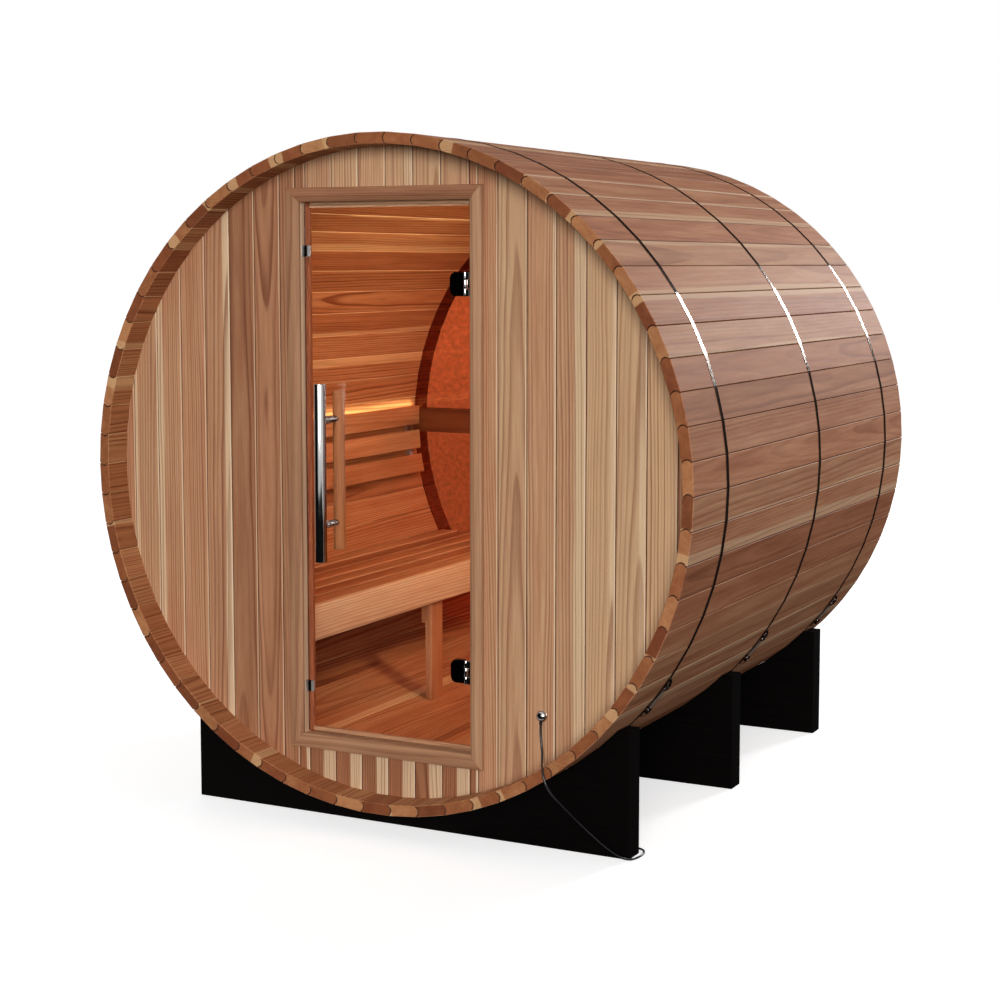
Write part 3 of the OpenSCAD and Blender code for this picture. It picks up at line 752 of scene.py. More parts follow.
def casing_profile():
    """(outwards from the opening, forwards from the wall) round one casing board."""
    t = WALL_FRONT - CASING_LOW.y
    return [(0.0, 0.0), (0.0, 0.0065), (0.0008, 0.0075), (0.004, 0.0095), (0.008, 0.0118),
            (0.0115, 0.0132), (0.0135, 0.0136), (0.0140, t - 0.0006), (0.0148, t),
            (CASING_W - 0.003, t), (CASING_W - 0.001, t - 0.0008), (CASING_W, t - 0.003),
            (CASING_W, 0.0)]


def add_casing():
    """Four mitred boards round the doorway, on the front of the wall."""
    pick = Boards(5, 0.45, 0.15, 0.2)
    piece = Piece("casing", "casing")
    profile = casing_profile()
    corners = [(OPEN_LEFT, OPEN_LOW, -1, -1), (OPEN_RIGHT, OPEN_LOW, 1, -1),
               (OPEN_RIGHT, OPEN_HIGH, 1, 1), (OPEN_LEFT, OPEN_HIGH, -1, 1)]
    tones = (0.55, 0.28, 0.75, 0.60)
    mitre_gap = 0.0002
    for k in range(4):
        start, end = corners[k], corners[(k + 1) % 4]
        run = Vector((end[0] - start[0], 0, end[1] - start[1])).normalized()

        def spot(end_of_run, t, out):
            (x, z, side_x, side_z), sign = end_of_run
            p = Vector((x + side_x * t, WALL_FRONT - out, z + side_z * t)) + run * sign * mitre_gap
            return p, (t - CASING_W / 2, p.dot(run), out)

        piece.prism(profile, ((start, 1), (end, -1)), spot, pick.next(tones[k]), turned=True)
    piece.build(ROOT, "frame_cedar", ("door_casing",), smooth=25)


def add_door_frame():
    """Frame boards round the doorway, with a stop nailed on their inner side."""
    pick = Boards(7, 0.3, 0.2, 0.2)
    piece = Piece("door_frame", "casing", "stop", "wall_arris_painted_highlight")
    y0, y1 = WALL_FRONT + 0.0001, WALL_BACK
    outer, ease = FRAME_T - 0.0004, 0.0012
    x0, x1 = OPEN_LEFT - outer, OPEN_RIGHT + outer
    z0, z1 = OPEN_LOW - outer, OPEN_HIGH + outer
    s0 = WALL_BACK - STOP_T
    left, right = OPEN_LEFT + STOP_W, OPEN_RIGHT - STOP_W
    # The side stops get the darker stop wood, a painted shade. The left jamb gets the pale arris wood, a
    # painted highlight, and the top stop the palest tone, painted light
    for low, high, along, tone, slot in (
            ((x0, y0, z0), (OPEN_LEFT, y1, z1), "z", 0.15, 2),
            ((OPEN_RIGHT, y0, z0), (x1, y1, z1), "z", 0.35, 0),
            ((OPEN_LEFT, y0, z0), (OPEN_RIGHT, y1, OPEN_LOW), "x", 0.3, 0),
            ((OPEN_LEFT, y0, OPEN_HIGH), (OPEN_RIGHT, y1, z1), "x", 0.3, 0),
            ((OPEN_LEFT, s0, OPEN_LOW), (left, y1, OPEN_HIGH), "z", 0.5, 1),
            ((right, s0, OPEN_LOW), (OPEN_RIGHT, y1, OPEN_HIGH), "z", 0.5, 1),
            ((left, s0, OPEN_LOW), (right, y1, OPEN_LOW + STOP_W), "x", 0.6, 0),
            ((left, s0, OPEN_HIGH - STOP_W), (right, y1, OPEN_HIGH), "x", 0.0, 0)):
        plank(piece, low, high, along, pick.next(tone), ease, slot)
    piece.build(ROOT, "frame_cedar", ("door_frame",), smooth=35)


# -------- door

HANDLE_X = (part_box("inner_handle")[0].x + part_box("inner_handle")[1].x) / 2
FIXING_Z = (0.150, -0.150)
GRUB_DEPTH, GRUB_OUT = 0.024, 0.0045


def handle_bar(node, *materials, edge, board=EVEN_BOARD):
    """The upright bar of a handle: its piece, radius, and the y and middle height of its axis."""
    low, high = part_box(node)
    radius = (high.x - low.x) / 2
    y = low.y + radius if node == "outer_handle" else high.y - radius
    piece = Piece("handle_" + ("outside" if node == "outer_handle" else "inside"), *materials)
    lathe(piece, bar_profile(high.z - low.z, radius, edge), (HANDLE_X, y, low.z), UP, 48, board=board)
    return piece, radius, y, (low.z + high.z) / 2


def add_handles():
    """A steel bar outside and a wooden one inside, each on two stems through the glass."""
    steel, _, y, middle = handle_bar("outer_handle", "polished", edge=0.0015)
    face = GLASS_LOW.y
    reach = face - y
    stem = [(0, 0.006), (reach - 0.016, 0.006), (reach - 0.0155, 0.0065), (reach - 0.0085, 0.0085),
            (reach - 0.008, 0.0105), (reach - 0.0072, 0.011), (reach - 0.001, 0.011),
            (reach - 0.0003, 0.0103)]
    grub = [(0, 0.0022), (0.0004, 0.0025), (0.003, 0.0025), (0.0034, 0.0022)]
    for dz in FIXING_Z:
        lathe(steel, stem, (HANDLE_X, y, middle + dz), BACKWARDS, 28)
        lathe(steel, grub, (HANDLE_X + GRUB_OUT, face - GRUB_DEPTH, middle + dz), RIGHTWARDS, 12)
    steel.build(DOOR, "polished_steel", ("outer_handle",), smooth=30)

    wooden, radius, y, middle = handle_bar("inner_handle", "handle_wood", "polished", edge=0.003,
                                           board=(0.37, 0.45, 0.0))
    back = GLASS_HIGH.y
    reach = y - radius - back
    stem = [(0.0003, 0.0103), (0.001, 0.011), (0.0060, 0.011), (0.0070, 0.0100), (0.0075, 0.0068),
            (reach - 0.010, 0.0068), (reach - 0.009, 0.0095), (reach + 0.002, 0.0095)]
    for dz in FIXING_Z:
        lathe(wooden, stem, (HANDLE_X, back, middle + dz), BACKWARDS, 28, slot=1)
    wooden.build(DOOR, "handle_wood", ("inner_handle",), smooth=30)


def plate_outline(left, right, half_h, corner):
    """Hinge plate: square by the pin, with cut corners on the other side."""
    cut = corner * 0.35
    upper = [(right, half_h), (left + corner, half_h), (left + cut, half_h - cut), (left, half_h - corner)]
    return [(right, -half_h)] + upper + [(x, -z) for x, z in upper[:0:-1]]


def bevelled_plate(piece, outline, z, y0, y1, edge):
    """A flat plate in X and Z with a small bevel all round, from y0 to y1."""
    cx = sum(p[0] for p in outline) / len(outline)
    half = max(abs(p[0] - cx) for p in outline)
    points = []
    for y, inset in ((y0, edge), (y0 + edge, 0), (y1 - edge, 0), (y1, edge)):
        for x, dz in outline:
            k = 1 - inset / half
            points.append((cx + (x - cx) * k, y, z + dz * k))
    area = sum(a[0] * b[1] - b[0] * a[1] for a, b in zip(outline, outline[1:] + outline[:1]))
    piece.solid(points, loft_faces(4, len(outline)), turned=area <= 0)


KNUCKLE = 0.012
BARREL_R = 0.005
BARREL_GAP = 0.0005
PLATE_OUTER, PLATE_INNER, GASKET = 0.0048, 0.0033, 0.0003
SCREW_DZ = 0.017


def add_hinge(side):
    """A glass-door hinge: dark plates clamp the glass, a bright barrel turns on the frame's leaf."""
    low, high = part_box(side + "_hinge_plate")
    leaf_low, leaf_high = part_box(side + "_hinge_leaf")
    z = (low.z + high.z) / 2
    half_h = (high.z - low.z) / 2
    right = PIN.x - 0.008
    moving = Piece("hinge_plates_" + side, "hinge_black", "polished")
    outline = plate_outline(low.x, right, half_h, 0.014)
    front, back = GLASS_LOW.y, GLASS_HIGH.y
    outer_face = front - PLATE_OUTER
    bevelled_plate(moving, outline, z, outer_face, front - GASKET, 0.0007)
    bevelled_plate(moving, outline, z, back + GASKET, back + PLATE_INNER, 0.0006)
    head = [(-0.0016, 0.0038), (-0.0012, 0.0044), (-0.0006, 0.0044), (0, 0.0040)]
    for dz in (-SCREW_DZ, SCREW_DZ):
        lathe(moving, head, ((low.x + right) / 2, back + 0.0049, z + dz), BACKWARDS, 20, slot=1)
    barrel = bar_profile(2 * KNUCKLE, BARREL_R, 0.0006, 2)
    lathe(moving, barrel, (PIN.x, PIN.y, z - KNUCKLE), UP, 28, slot=1)
    plank(moving, (right - 0.002, outer_face, z - KNUCKLE), (PIN.x, front - 0.0018, z + KNUCKLE),
          radius=0.0005)
    moving.build(DOOR, "polished_steel", (side + "_hinge_plate",), smooth=30)

    fixed = Piece("hinge_leaf_" + side, "polished")
    arm = half_h - KNUCKLE - BARREL_GAP
    inner_x = leaf_high.x - 0.002
    cap = [(0, 0.0030), (0.0004, 0.0034), (0.0010, 0.0034)]
    for sign in (-1, 1):
        base = z + sign * (KNUCKLE + BARREL_GAP) - (arm if sign < 0 else 0)
        lathe(fixed, bar_profile(arm, BARREL_R, 0.0006, 2), (PIN.x, PIN.y, base), UP, 28)
        plank(fixed, (PIN.x, PIN.y - 0.0035, base + 0.0004), (inner_x, PIN.y + 0.0035, base + arm - 0.0004),
              radius=0.0004)
        lathe(fixed, cap, (PIN.x, PIN.y, z + sign * (half_h - 0.0014)), (0, 0, sign), 20)
    plank(fixed, (leaf_high.x - 0.003, leaf_low.y, leaf_low.z), leaf_high, radius=0.0005)
    plank(fixed, (PIN.x + 0.0060, PIN.y + 0.0010, z - KNUCKLE), (inner_x, PIN.y + 0.0035, z + KNUCKLE),
          radius=0.0004)
    fixed.build(ROOT, "polished_steel", (side + "_hinge_leaf",), smooth=30)


CATCH_H = 0.034
CLIP_SHARE = 0.9


def add_catches():
    """A magnet plate on the frame, and a small steel clip on the glass edge, at each height."""
    low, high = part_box("door_catches")
    fixed = Piece("catch_plates", "satin")
    clips = Piece("catch_clips", "satin", "hinge_black")
    edge = GLASS_LOW.x
    front, back = GLASS_LOW.y - 0.0014, GLASS_HIGH.y + 0.0016
    for z in (high.z - CATCH_H / 2, low.z + CATCH_H / 2):
        half = CATCH_H / 2
        plank(fixed, (low.x, low.y, z - half), (high.x, high.y, z + half), radius=0.0004)
        half *= CLIP_SHARE
        for y0, y1 in ((front, GLASS_LOW.y - 0.0001), (GLASS_HIGH.y + 0.0001, back)):
            plank(clips, (edge - 0.0006, y0, z - half), (edge + 0.010, y1, z + half), radius=0.0004, slot=1)
            plank(clips, (edge + 0.010, y0, z - half), (edge + 0.017, y1, z + half), radius=0.0004)
        plank(clips, (edge - 0.0009, front, z - half), (edge - 0.0001, back, z + half), radius=0.0003)
    fixed.build(ROOT, "polished_steel", ("door_catches",), smooth=30)
    clips.build(DOOR, "polished_steel", (), smooth=30)


# -------- rear

def add_rail():
    """The board between the rear panes, grooved for both."""
    low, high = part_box("rear_rail")
    # The rail's dark wood is a painted shade
    piece = Piece("rail_between_panes", "rail")
    pick = Boards(3, 0.5, 0.1, 0.0)
    reach = INNER_FLAT - EDGE_CLEAR
    (_, y0, z0), (_, y1, z1) = low, high
    g0, g1 = REAR_GROOVE
    groove, ease = 0.010, 0.002
    section = [(y0 + ease, z0), (g0, z0), (g0, z0 + groove), (g1, z0 + groove), (g1, z0), (y1 - ease, z0),
               (y1, z0 + ease), (y1, z1 - ease), (y1 - ease, z1), (g1, z1), (g1, z1 - groove),
               (g0, z1 - groove), (g0, z1), (y0 + ease, z1), (y0, z1 - ease), (y0, z0 + ease)]

    def spot(sign, y, z):
        x = sign * min(abs(high.x), math.sqrt(max(0.0, reach ** 2 - (z - AXIS_Z) ** 2)))
        return (x, y, z), (z - AXIS_Z, x, y - y0)

    piece.prism(section, (-1, 1), spot, pick.next())
    piece.build(ROOT, "frame_cedar", ("rear_rail",), smooth=25)


# -------- bench and backrest

POST_W = 0.075
BEARER_T, BEARER_H, TAB_T = 0.022, 0.080, 0.014
SEAT_GAP, STAVE_GAP = 0.0002, 0.0005


def add_bench():
    """Seat slats and a front board, on posts and cross bearers that meet the staves."""
    low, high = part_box("bench_seat")
    slats, gap = 6, 0.010
    width = (high.x - low.x - gap * (slats - 1)) / slats
    pick = Boards(41, 0.55, 0.22, 0.2)
    seat = Piece("seat_slats", "bench", "stave_end", "fascia")
    for k in range(slats):
        x1 = high.x - k * (width + gap)
        # The slats' upper right edges get the front board's pale wood, a painted highlight
        plank(seat, (x1 - width, low.y, low.z), (x1, high.y, high.z), "y", pick.next(), end_slot=1, arris=2)
    seat.build(ROOT, "bench_cedar", ("bench_seat",))

    low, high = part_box("bench_fascia")
    # The front board gets the paler wood, painted light
    fascia = Piece("bench_front_board_painted_light", "fascia", "stave_end")
    plank(fascia, low, high, "y", (0.13, 0.12, 0.0), end_slot=1)
    fascia.build(ROOT, "bench_cedar", ("bench_fascia",))

    posts = Piece("posts_under_bench", "bench", "stave_end")
    low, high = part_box("bench_posts")
    centre = (low + high) / 2
    outline = [(x, y) for y, x in rounded_rectangle(POST_W / 2, (high.x - low.x) / 2, 0.002)]
    for k, y in enumerate((low.y + POST_W / 2, centre.y, high.y - POST_W / 2)):
        def spot(top, dx, dy):
            x = centre.x + dx
            z = high.z - SEAT_GAP if top else AXIS_Z - wall_edge(x, INNER_FLAT - STAVE_GAP)
            return (x, y + dy, z), (dy, z, dx)

        posts.prism(outline, (False, True), spot, (0.21 + 0.3 * k, 0.45, 0.0), turned=True)
    posts.build(ROOT, "bench_cedar", ("bench_posts",))

    bearers = Piece("bearers_under_seat", "bench", "stave_end")
    low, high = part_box("bench_bearers")
    z1, z0 = high.z - SEAT_GAP, high.z - BEARER_H
    x1, tab_x = high.x - SEAT_GAP, high.x - TAB_T
    heights = [z0 + (z1 - z0) * i / 6 for i in range(7)]
    outline = [(-wall_edge(AXIS_Z - z, INNER_FLAT - STAVE_GAP), z) for z in heights]
    outline += [(x1, z1), (x1, low.z), (tab_x, low.z), (tab_x, z0)]
    for k, y in enumerate((low.y, centre.y - POST_W / 2, high.y - BEARER_T)):
        def spot(deep, x, z):
            return (x, y + deep, z), (z - z0, x, deep)

        bearers.prism(outline, (0, BEARER_T), spot, (0.33 + 0.2 * k, 0.6, 0.0), turned=True)
    bearers.build(ROOT, "bench_cedar", ("bench_bearers",))


BACK_R = 0.8854
SLAT_HALF_H, SLAT_T = 0.035, 0.020


def add_backrest():
    """Three slats that stand off the staves on curved steel strips."""
    pick = Boards(59, 0.45, 0.15, 0.2)
    for name in ("top", "middle", "bottom"):
        low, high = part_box("backrest_" + name)
        piece = Piece("back_slat_" + name, "bench", "stave_end")
        centre_r = BACK_R + SLAT_T / 2
        angle = math.asin(((low.z + high.z) / 2 - AXIS_Z) / centre_r)
        out = Vector((-math.cos(angle), 0, math.sin(angle)))
        up = Vector((math.sin(angle), 0, math.cos(angle)))
        centre = Vector((0, (low.y + high.y) / 2, AXIS_Z)) + out * centre_r
        turn = Matrix.Translation(centre) @ Matrix((
            (out.x, 0, up.x, 0), (0, 1, 0, 0), (out.z, 0, up.z, 0), (0, 0, 0, 1)))
        corner = Vector((SLAT_T / 2, (high.y - low.y) / 2, SLAT_HALF_H))
        plank(piece, -corner, corner, "y", pick.next(), 0.0035, end_slot=1, turn=turn)
        piece.build(ROOT, "bench_cedar", ("backrest_" + name,))


def finish_node(node, key, edge_key=None):
    """A CAD node whose shape is right keeps it, and gets its material here. edge_key names
    another one for the narrow sides of an upright pane."""
    mesh = frame["nodes"][node].data
    mesh.materials.clear()
    mesh.materials.append(MAT[key])
    if edge_key:
        mesh.materials.append(MAT[edge_key])
        for face in mesh.polygons:
            face.material_index = int(abs(face.normal.y) < 0.5)


# -------- bands and clamps

def clamp_frame(y):
    """Origin on the band's outer face at the clamp's joint, and its axes: along, outwards."""
    low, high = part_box("band_clamps")
    middle = Vector(((low.x + high.x) / 2, 0, (low.z + high.z) / 2 - AXIS_Z))
    angle = math.atan2(middle.z, middle.x)
    joint = round((angle + math.pi / 2) / STAVE_ANGLE + 0.5)
    out, along = spoke(-math.pi / 2 + (joint - 0.5) * STAVE_ANGLE)
    surface = Vector((0, y, AXIS_Z)) + out * (OUTER_FLAT * math.cos(STAVE_ANGLE / 2) + BAND_GAP + BAND_T)
    return surface, along, out


STRAP_W, STRAP_T = 0.0185, 0.0009


def strap_loop(piece, centre, along, out, start, radius, sign):
    """The band's end, folded back round a cross pin: a thin strip that wraps it."""
    line = [(-sign * 0.034, 0.0006), (-sign * 0.018, 0.0009)]
    steps = 12
    for k in range(steps + 1):
        a = -math.pi / 2 + math.pi * k / steps
        line.append((sign * radius * math.cos(a), radius + 0.001 + radius * math.sin(a)))
    line += [(-sign * 0.012, 2 * radius + 0.0002), (-sign * 0.022, radius + 0.003), (-sign * 0.030, 0.0034)]
    half_w = STRAP_W / 2
    points = []
    for i, (a, b) in enumerate(line):
        before, after = line[max(0, i - 1)], line[min(len(line) - 1, i + 1)]
        tangent = Vector((after[0] - before[0], after[1] - before[1])).normalized()
        normal = Vector((-tangent.y, tangent.x)) * (STRAP_T / 2)
        for side, y in ((1, -half_w), (1, half_w), (-1, half_w), (-1, -half_w)):
            place = along * (start + a + side * normal.x) + out * (b + side * normal.y)
            points.append(centre + place + Vector((0, y, 0)))
    piece.solid(points, loft_faces(len(line), 4))


CROSS_PIN_R, CROSS_PIN_L = 0.0052, 0.026
BOLT_R, BOLT_LIFT = 0.0030, 0.0072
LUG_SPREAD = 0.040
THREAD_PITCH, THREAD_DEPTH = 0.0012, 0.0004


def add_clamps():
    """Bolt clamps: each band end loops round a cross pin, and a bolt draws the two together."""
    piece = Piece("band_bolt_clamps", "clamp_steel_painted_dark_reflection")
    start, end = -LUG_SPREAD - 0.016, LUG_SPREAD + 0.018
    steps = int((end - start) / (THREAD_PITCH / 2))
    thread = [(start + (end - start) * k / steps, BOLT_R - (THREAD_DEPTH if k % 2 else 0.0))
              for k in range(steps + 1)]
    nuts = ((-0.0125 - LUG_SPREAD, 0.0055, 0.0062, 6), (LUG_SPREAD + 0.0065, 0.0055, 0.0062, 6),
            (-0.0068 - LUG_SPREAD, 0.0012, 0.0068, 24), (LUG_SPREAD + 0.0053, 0.0012, 0.0068, 24))
    edge = 0.0005
    for band in BANDS:
        low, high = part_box(band)
        surface, along, out = clamp_frame((low.y + high.y) / 2)
        bolt = surface + out * BOLT_LIFT
        for sign in (-1, 1):
            strap_loop(piece, surface, along, out, sign * LUG_SPREAD, CROSS_PIN_R + 0.0006, -sign)
            pin = bolt + along * (sign * LUG_SPREAD) - Vector((0, CROSS_PIN_L / 2, 0))
            lathe(piece, bar_profile(CROSS_PIN_L, CROSS_PIN_R, 0.0008, 2), pin, BACKWARDS, 24)
        lathe(piece, thread, bolt, along, 16)
        for at, length, radius, sides in nuts:
            nut = [(0, radius - edge), (edge, radius), (length - edge, radius), (length, radius - edge)]
            lathe(piece, nut, bolt + along * at, along, sides)
    piece.build(ROOT, "polished_steel", ("band_clamps",), smooth=28)


def add_bands():
    """Flat steel bands, one straight stretch on each stave, with eased edges."""
    inner = OUTER_FLAT + BAND_GAP
    outer = inner + BAND_T
    ease, crown = 0.0003, 0.0005
    for node in BANDS:
        low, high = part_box(node)
        y0, y1 = low.y, high.y
        section = [(y0 + ease, inner), (y1 - ease, inner), (y1, inner + ease), (y1, outer - ease),
                   (y1 - crown, outer), (y0 + crown, outer), (y0, outer - ease), (y0, inner + ease)]
        points = []
        for i in range(STAVES):
            for share in (-0.47, -0.40, 0.40, 0.47):
                out, _ = spoke(-math.pi / 2 + (i + share) * STAVE_ANGLE)
                for y, flat in section:
                    points.append(Vector((0, y, AXIS_Z)) + out * (flat / math.cos(share * STAVE_ANGLE)))
        piece = Piece("steel_" + node, "band")
        piece.solid(points, loft_faces(STAVES * 4, len(section), loop=True), turned=True)
        piece.build(ROOT, "polished_steel", (node,), smooth=1.2)


# -------- cradles

def offset_outline(points, distance):
    """The outline moved inwards by distance at each corner. The points run anticlockwise."""
    moved = []
    for i, point in enumerate(points):
        before, after = Vector(points[i - 1]), Vector(points[(i + 1) % len(points)])
        p = Vector(point)
        d0, d1 = (p - before).normalized(), (after - p).normalized()
        n0, n1 = Vector((-d0.y, d0.x)), Vector((-d1.y, d1.x))
        moved.append(p + (n0 + n1) * (distance / (1 + n0.dot(n1))))
    return moved


CRADLE_GAP, CRADLE_EASE = 0.0003, 0.003


def add_cradles():
    """Timber cradles with a round seat for the barrel and eased edges."""
    radius = SHELL_R + CRADLE_GAP
    steps = 48
    for node in CRADLES:
        low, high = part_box(node)
        top = high.z
        reach = math.sqrt(radius ** 2 - (AXIS_Z - top) ** 2)
        start = math.atan2(top - AXIS_Z, reach)
        outline = [(low.x, low.z), (high.x, low.z), (high.x, top), (reach, top)]
        for k in range(1, steps):
            a = start + (-math.pi - 2 * start) * k / steps
            outline.append((radius * math.cos(a), AXIS_Z + radius * math.sin(a)))
        outline += [(-reach, top), (low.x, top)]
        small = offset_outline(outline, CRADLE_EASE)
        rings = ((low.y, small), (low.y + CRADLE_EASE, outline), (high.y - CRADLE_EASE, outline),
                 (high.y, small))
        piece = Piece("timber_" + node, "cradle")
        piece.solid([(x, y, z) for y, ring in rings for x, z in ring], loft_faces(4, len(outline)))
        piece.build(ROOT, "cradle_wood", (node,), smooth=25)


# -------- lead

LEAD_D = 0.006
COIL_AT = Vector((0.600, -0.673, 0))
COIL_R = 0.032
LEAD_REST_Z = 0.0032
# The free run's points in mm, as in part.scad but for one, which lies 0.4 mm further in so that
# the curve stays inside the CAD box
LEAD_ROUTE = [
    (481, -892.5, 367), (481, -893, 352), (482, -894, 337), (484, -896, 322), (487, -899, 307),
    (491, -904, 293), (495, -912, 281), (500, -923, 272), (505, -936, 268), (511, -949, 270),
    (518, -962, 275), (525, -975, 277), (532, -987, 272), (538, -995, 260), (543, -997.6, 245),
    (549, -997, 230), (556, -992, 215), (564, -984, 199), (575, -972, 180), (588, -958, 159),
    (602, -943, 137), (617, -928, 115), (633, -913, 93), (650, -898, 71), (667, -883, 50),
    (684, -867, 31), (700, -851, 16), (714, -833, 7), (723, -814, 3.4), (728, -795, 3.2),
    (730, -776, 3.2), (729, -757, 3.2), (724, -739, 3.2), (714, -724, 3.2), (699, -716, 3.2),
    (681, -713, 3.2), (662, -712, 3.2), (643, -711, 3.2), (615.5, -711, 3.2)
]


def smooth_step(x, a, b):
    """0 below a, 1 above b, smooth between."""
    t = min(1.0, max(0.0, (x - a) / (b - a)))
    return t * t * (3 - 2 * t)


def coil_points(turns=5, steps=28):
    """Five turns, three side by side below and two above, wound clockwise from the near side."""
    d = LEAD_D + 0.0002
    low, high = LEAD_REST_Z, LEAD_REST_Z + d
    rows = []
    for k in range(turns * steps + 1):
        t = k / steps
        turn, share = (int(t), t - int(t)) if k < turns * steps else (turns - 1, 1.0)
        late = smooth_step(share, 0.75, 0.95)
        early = smooth_step(share, 0.30, 0.50)
        climb = smooth_step(share, 0.55, 0.72)
        by_turn = (
            (COIL_R + d - d * late, low), (COIL_R - d * late, low),
            (COIL_R - d, low + (high - low) * climb),
            (COIL_R - d + d * early, high), (COIL_R + d * early, high))
        r, z = by_turn[turn]
        a = -math.pi / 2 - 2 * math.pi * t
        rows.append(COIL_AT + Vector((r * math.cos(a), r * math.sin(a), z)))
    return rows


def curve_through(points, steps):
    """Smooth curve through the points, with steps parts to each stretch."""
    out = []
    for i in range(len(points) - 1):
        p0, p1 = points[max(i - 1, 0)], points[i]
        p2, p3 = points[i + 1], points[min(i + 2, len(points) - 1)]
        for k in range(steps):
            t = k / steps
            out.append(0.5 * (2 * p1 + (p2 - p0) * t + (2 * p0 - 5 * p1 + 4 * p2 - p3) * t * t
                              + (3 * p1 - p0 - 3 * p2 + p3) * t ** 3))
    return out + [points[-1]]


def add_lead():
    """The lamp's lead as one cord: from the dome over the rim to its coil and plug."""
    route = [Vector(p) / 1000 for p in LEAD_ROUTE]
    coil = coil_points()
    last = coil[-1]
    plug_low, plug_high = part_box("plug")
    relief_x, relief_z = plug_high.x, (plug_low.z + plug_high.z) / 2
    tail = []
    for s in (0.4, 0.75, 1.0):
        z = last.z + (relief_z - last.z) * smooth_step(s, 0, 1)
        tail.append(Vector((last.x + (relief_x - last.x) * s, last.y, z)))
    path = curve_through(route + coil[1:] + tail, 3)
    data = bpy.data.curves.new("lamp_lead", "CURVE")
    data.dimensions = "3D"
    data.bevel_depth = LEAD_D / 2
    data.bevel_resolution = 3
    spline = data.splines.new("POLY")
    spline.points.add(len(path) - 1)
    for point, place in zip(spline.points, path):
        point.co = (*place, 1)
    data.materials.append(MAT["lead"])
    lead = link("lamp_lead", data)
    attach(lead, ROOT)
    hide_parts("lead", "lead_coil")
    plug = add_plug()
    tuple(path[0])


def add_plug():
    """Moulded two-pin plug with a ribbed, tapered strain relief."""
    low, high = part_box("plug")
    piece = Piece("lead_plug", "plug")
    z = (low.z + high.z) / 2
    y = (low.y + high.y) / 2
    relief, pin = 0.022, 0.017
    body0, body1 = low.x + pin, high.x - relief
    stations = [(0.0, 0.78), (0.0015, 0.86), (0.022, 1.0), (0.034, 0.92), (0.0385, 0.72), (0.040, 0.50)]
    half_y, half_z = (high.y - low.y) / 2, (high.z - low.z) / 2
    points = []
    outline = rounded_rectangle(half_y, half_z, 0.006, 5)
    for x, k in stations:
        points += [(body0 + x, y + a * k, z + b * k) for a, b in outline]
    piece.solid(points, loft_faces(len(stations), len(outline)))
    ribs = []
    for i in range(6):
        r = 0.0058 - 0.0003 * i
        x = i * 0.0036
        ribs += [(x, r - 0.0008), (x + 0.0006, r), (x + 0.0022, r), (x + 0.0028, r - 0.0008)]
    ribs.append((relief, 0.0034))
    lathe(piece, ribs, (body1 - 0.0005, y, z), RIGHTWARDS, 24)
    half_t, half_w, spread = 0.0008, 0.0032, 0.0064
    for blade_y in (y - spread, y + spread):
        plank(piece, (low.x, blade_y - half_t, z - half_w),
              (body0 + 0.001, blade_y + half_t, z + half_w), "x", radius=0.0005)
    return piece.build(ROOT, "plug_plastic", ("plug",))


def add_cable_cap():
    """A steel dome on the front wall, with a short black ferrule where the lead leaves it."""
    low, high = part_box("cable_cap")
    piece = Piece("cable_dome", "dome", "lead")
    radius = (high.x - low.x) / 2
    flange, step = 0.0016, 0.0006
    depth = high.y - low.y - flange
    profile = [(0, radius), (0.0012, radius), (flange, radius - step)]
    steps = 10
    for k in range(1, steps + 1):
        a = math.pi / 2 * k / steps
        profile.append((flange + depth * math.sin(a), max(0.0002, (radius - step) * math.cos(a))))
    lathe(piece, profile, ((low.x + high.x) / 2, high.y, high.z - radius), (0, -1, 0), 40)
    ferrule = [(0, 0.0036), (0.0008, 0.0040), (0.010, 0.0040), (0.0130, 0.0040)]
    lead_x, lead_y, _ = LEAD_ROUTE[0]
    lathe(piece, ferrule, (lead_x / 1000, lead_y / 1000, low.z), UP, 20, slot=1)
    piece.build(ROOT, "polished_steel", ("cable_cap",), smooth=40)


# -------- stage and light

def card(name, corners):
    """A flat stage piece."""
    mesh = bpy.data.meshes.new(name)
    mesh.from_pydata(corners, [], [(0, 1, 2, 3)])
    made = link(name, mesh)
    return made


FLOOR_REACH = 60
CARD_H = 9
CARD_FADE = 0.28
FLOOR_GLOW = 0.62
# Through glass the floor glows less near the object: a painted shade
NEAR_GLOW_PAINTED_SHADE = 0.60
GLOW_FROM, GLOW_TO = 4.0, 30.0
FLOOR_BOUNCE, FLOOR_WHITE = 0.12, 0.85
AMBIENT = 0.32


def add_floor():
    """A white floor that keeps the object's shadow and throws little light back up. Seen through
    glass or in a reflection it glows by itself, and less near the object: a painted shade round it."""
    r = FLOOR_REACH
    floor = card("studio_floor", [(-r, -r, 0), (r, -r, 0), (r, r, 0), (-r, r, 0)])
    g = Graph("studio_floor")
    by_eye = g.node("LightPath").outputs["Is Camera Ray"]
    by_glass = g.minus(g.background_ray(), by_eye)
    position = g.node("NewGeometry").outputs["Position"]
    distance = g.node("VectorMath", {"operation": "LENGTH"}, (position,))
    far = g.step(distance.outputs["Value"], GLOW_FROM, GLOW_TO)
    glass_glow_with_painted_shade = g.times(by_glass, g.scaled(far, 1 - NEAR_GLOW_PAINTED_SHADE, NEAR_GLOW_PAINTED_SHADE))
    g.surface(Base_Color=g.mix(by_eye, grey(FLOOR_BOUNCE), grey(FLOOR_WHITE)), Roughness=0.9,
              Specular_IOR_Level=0.0, Emission_Color=grey(1.0),
              Emission_Strength=g.scaled(by_eye, FLOOR_GLOW, glass_glow_with_painted_shade))
    floor.data.materials.append(g.material)


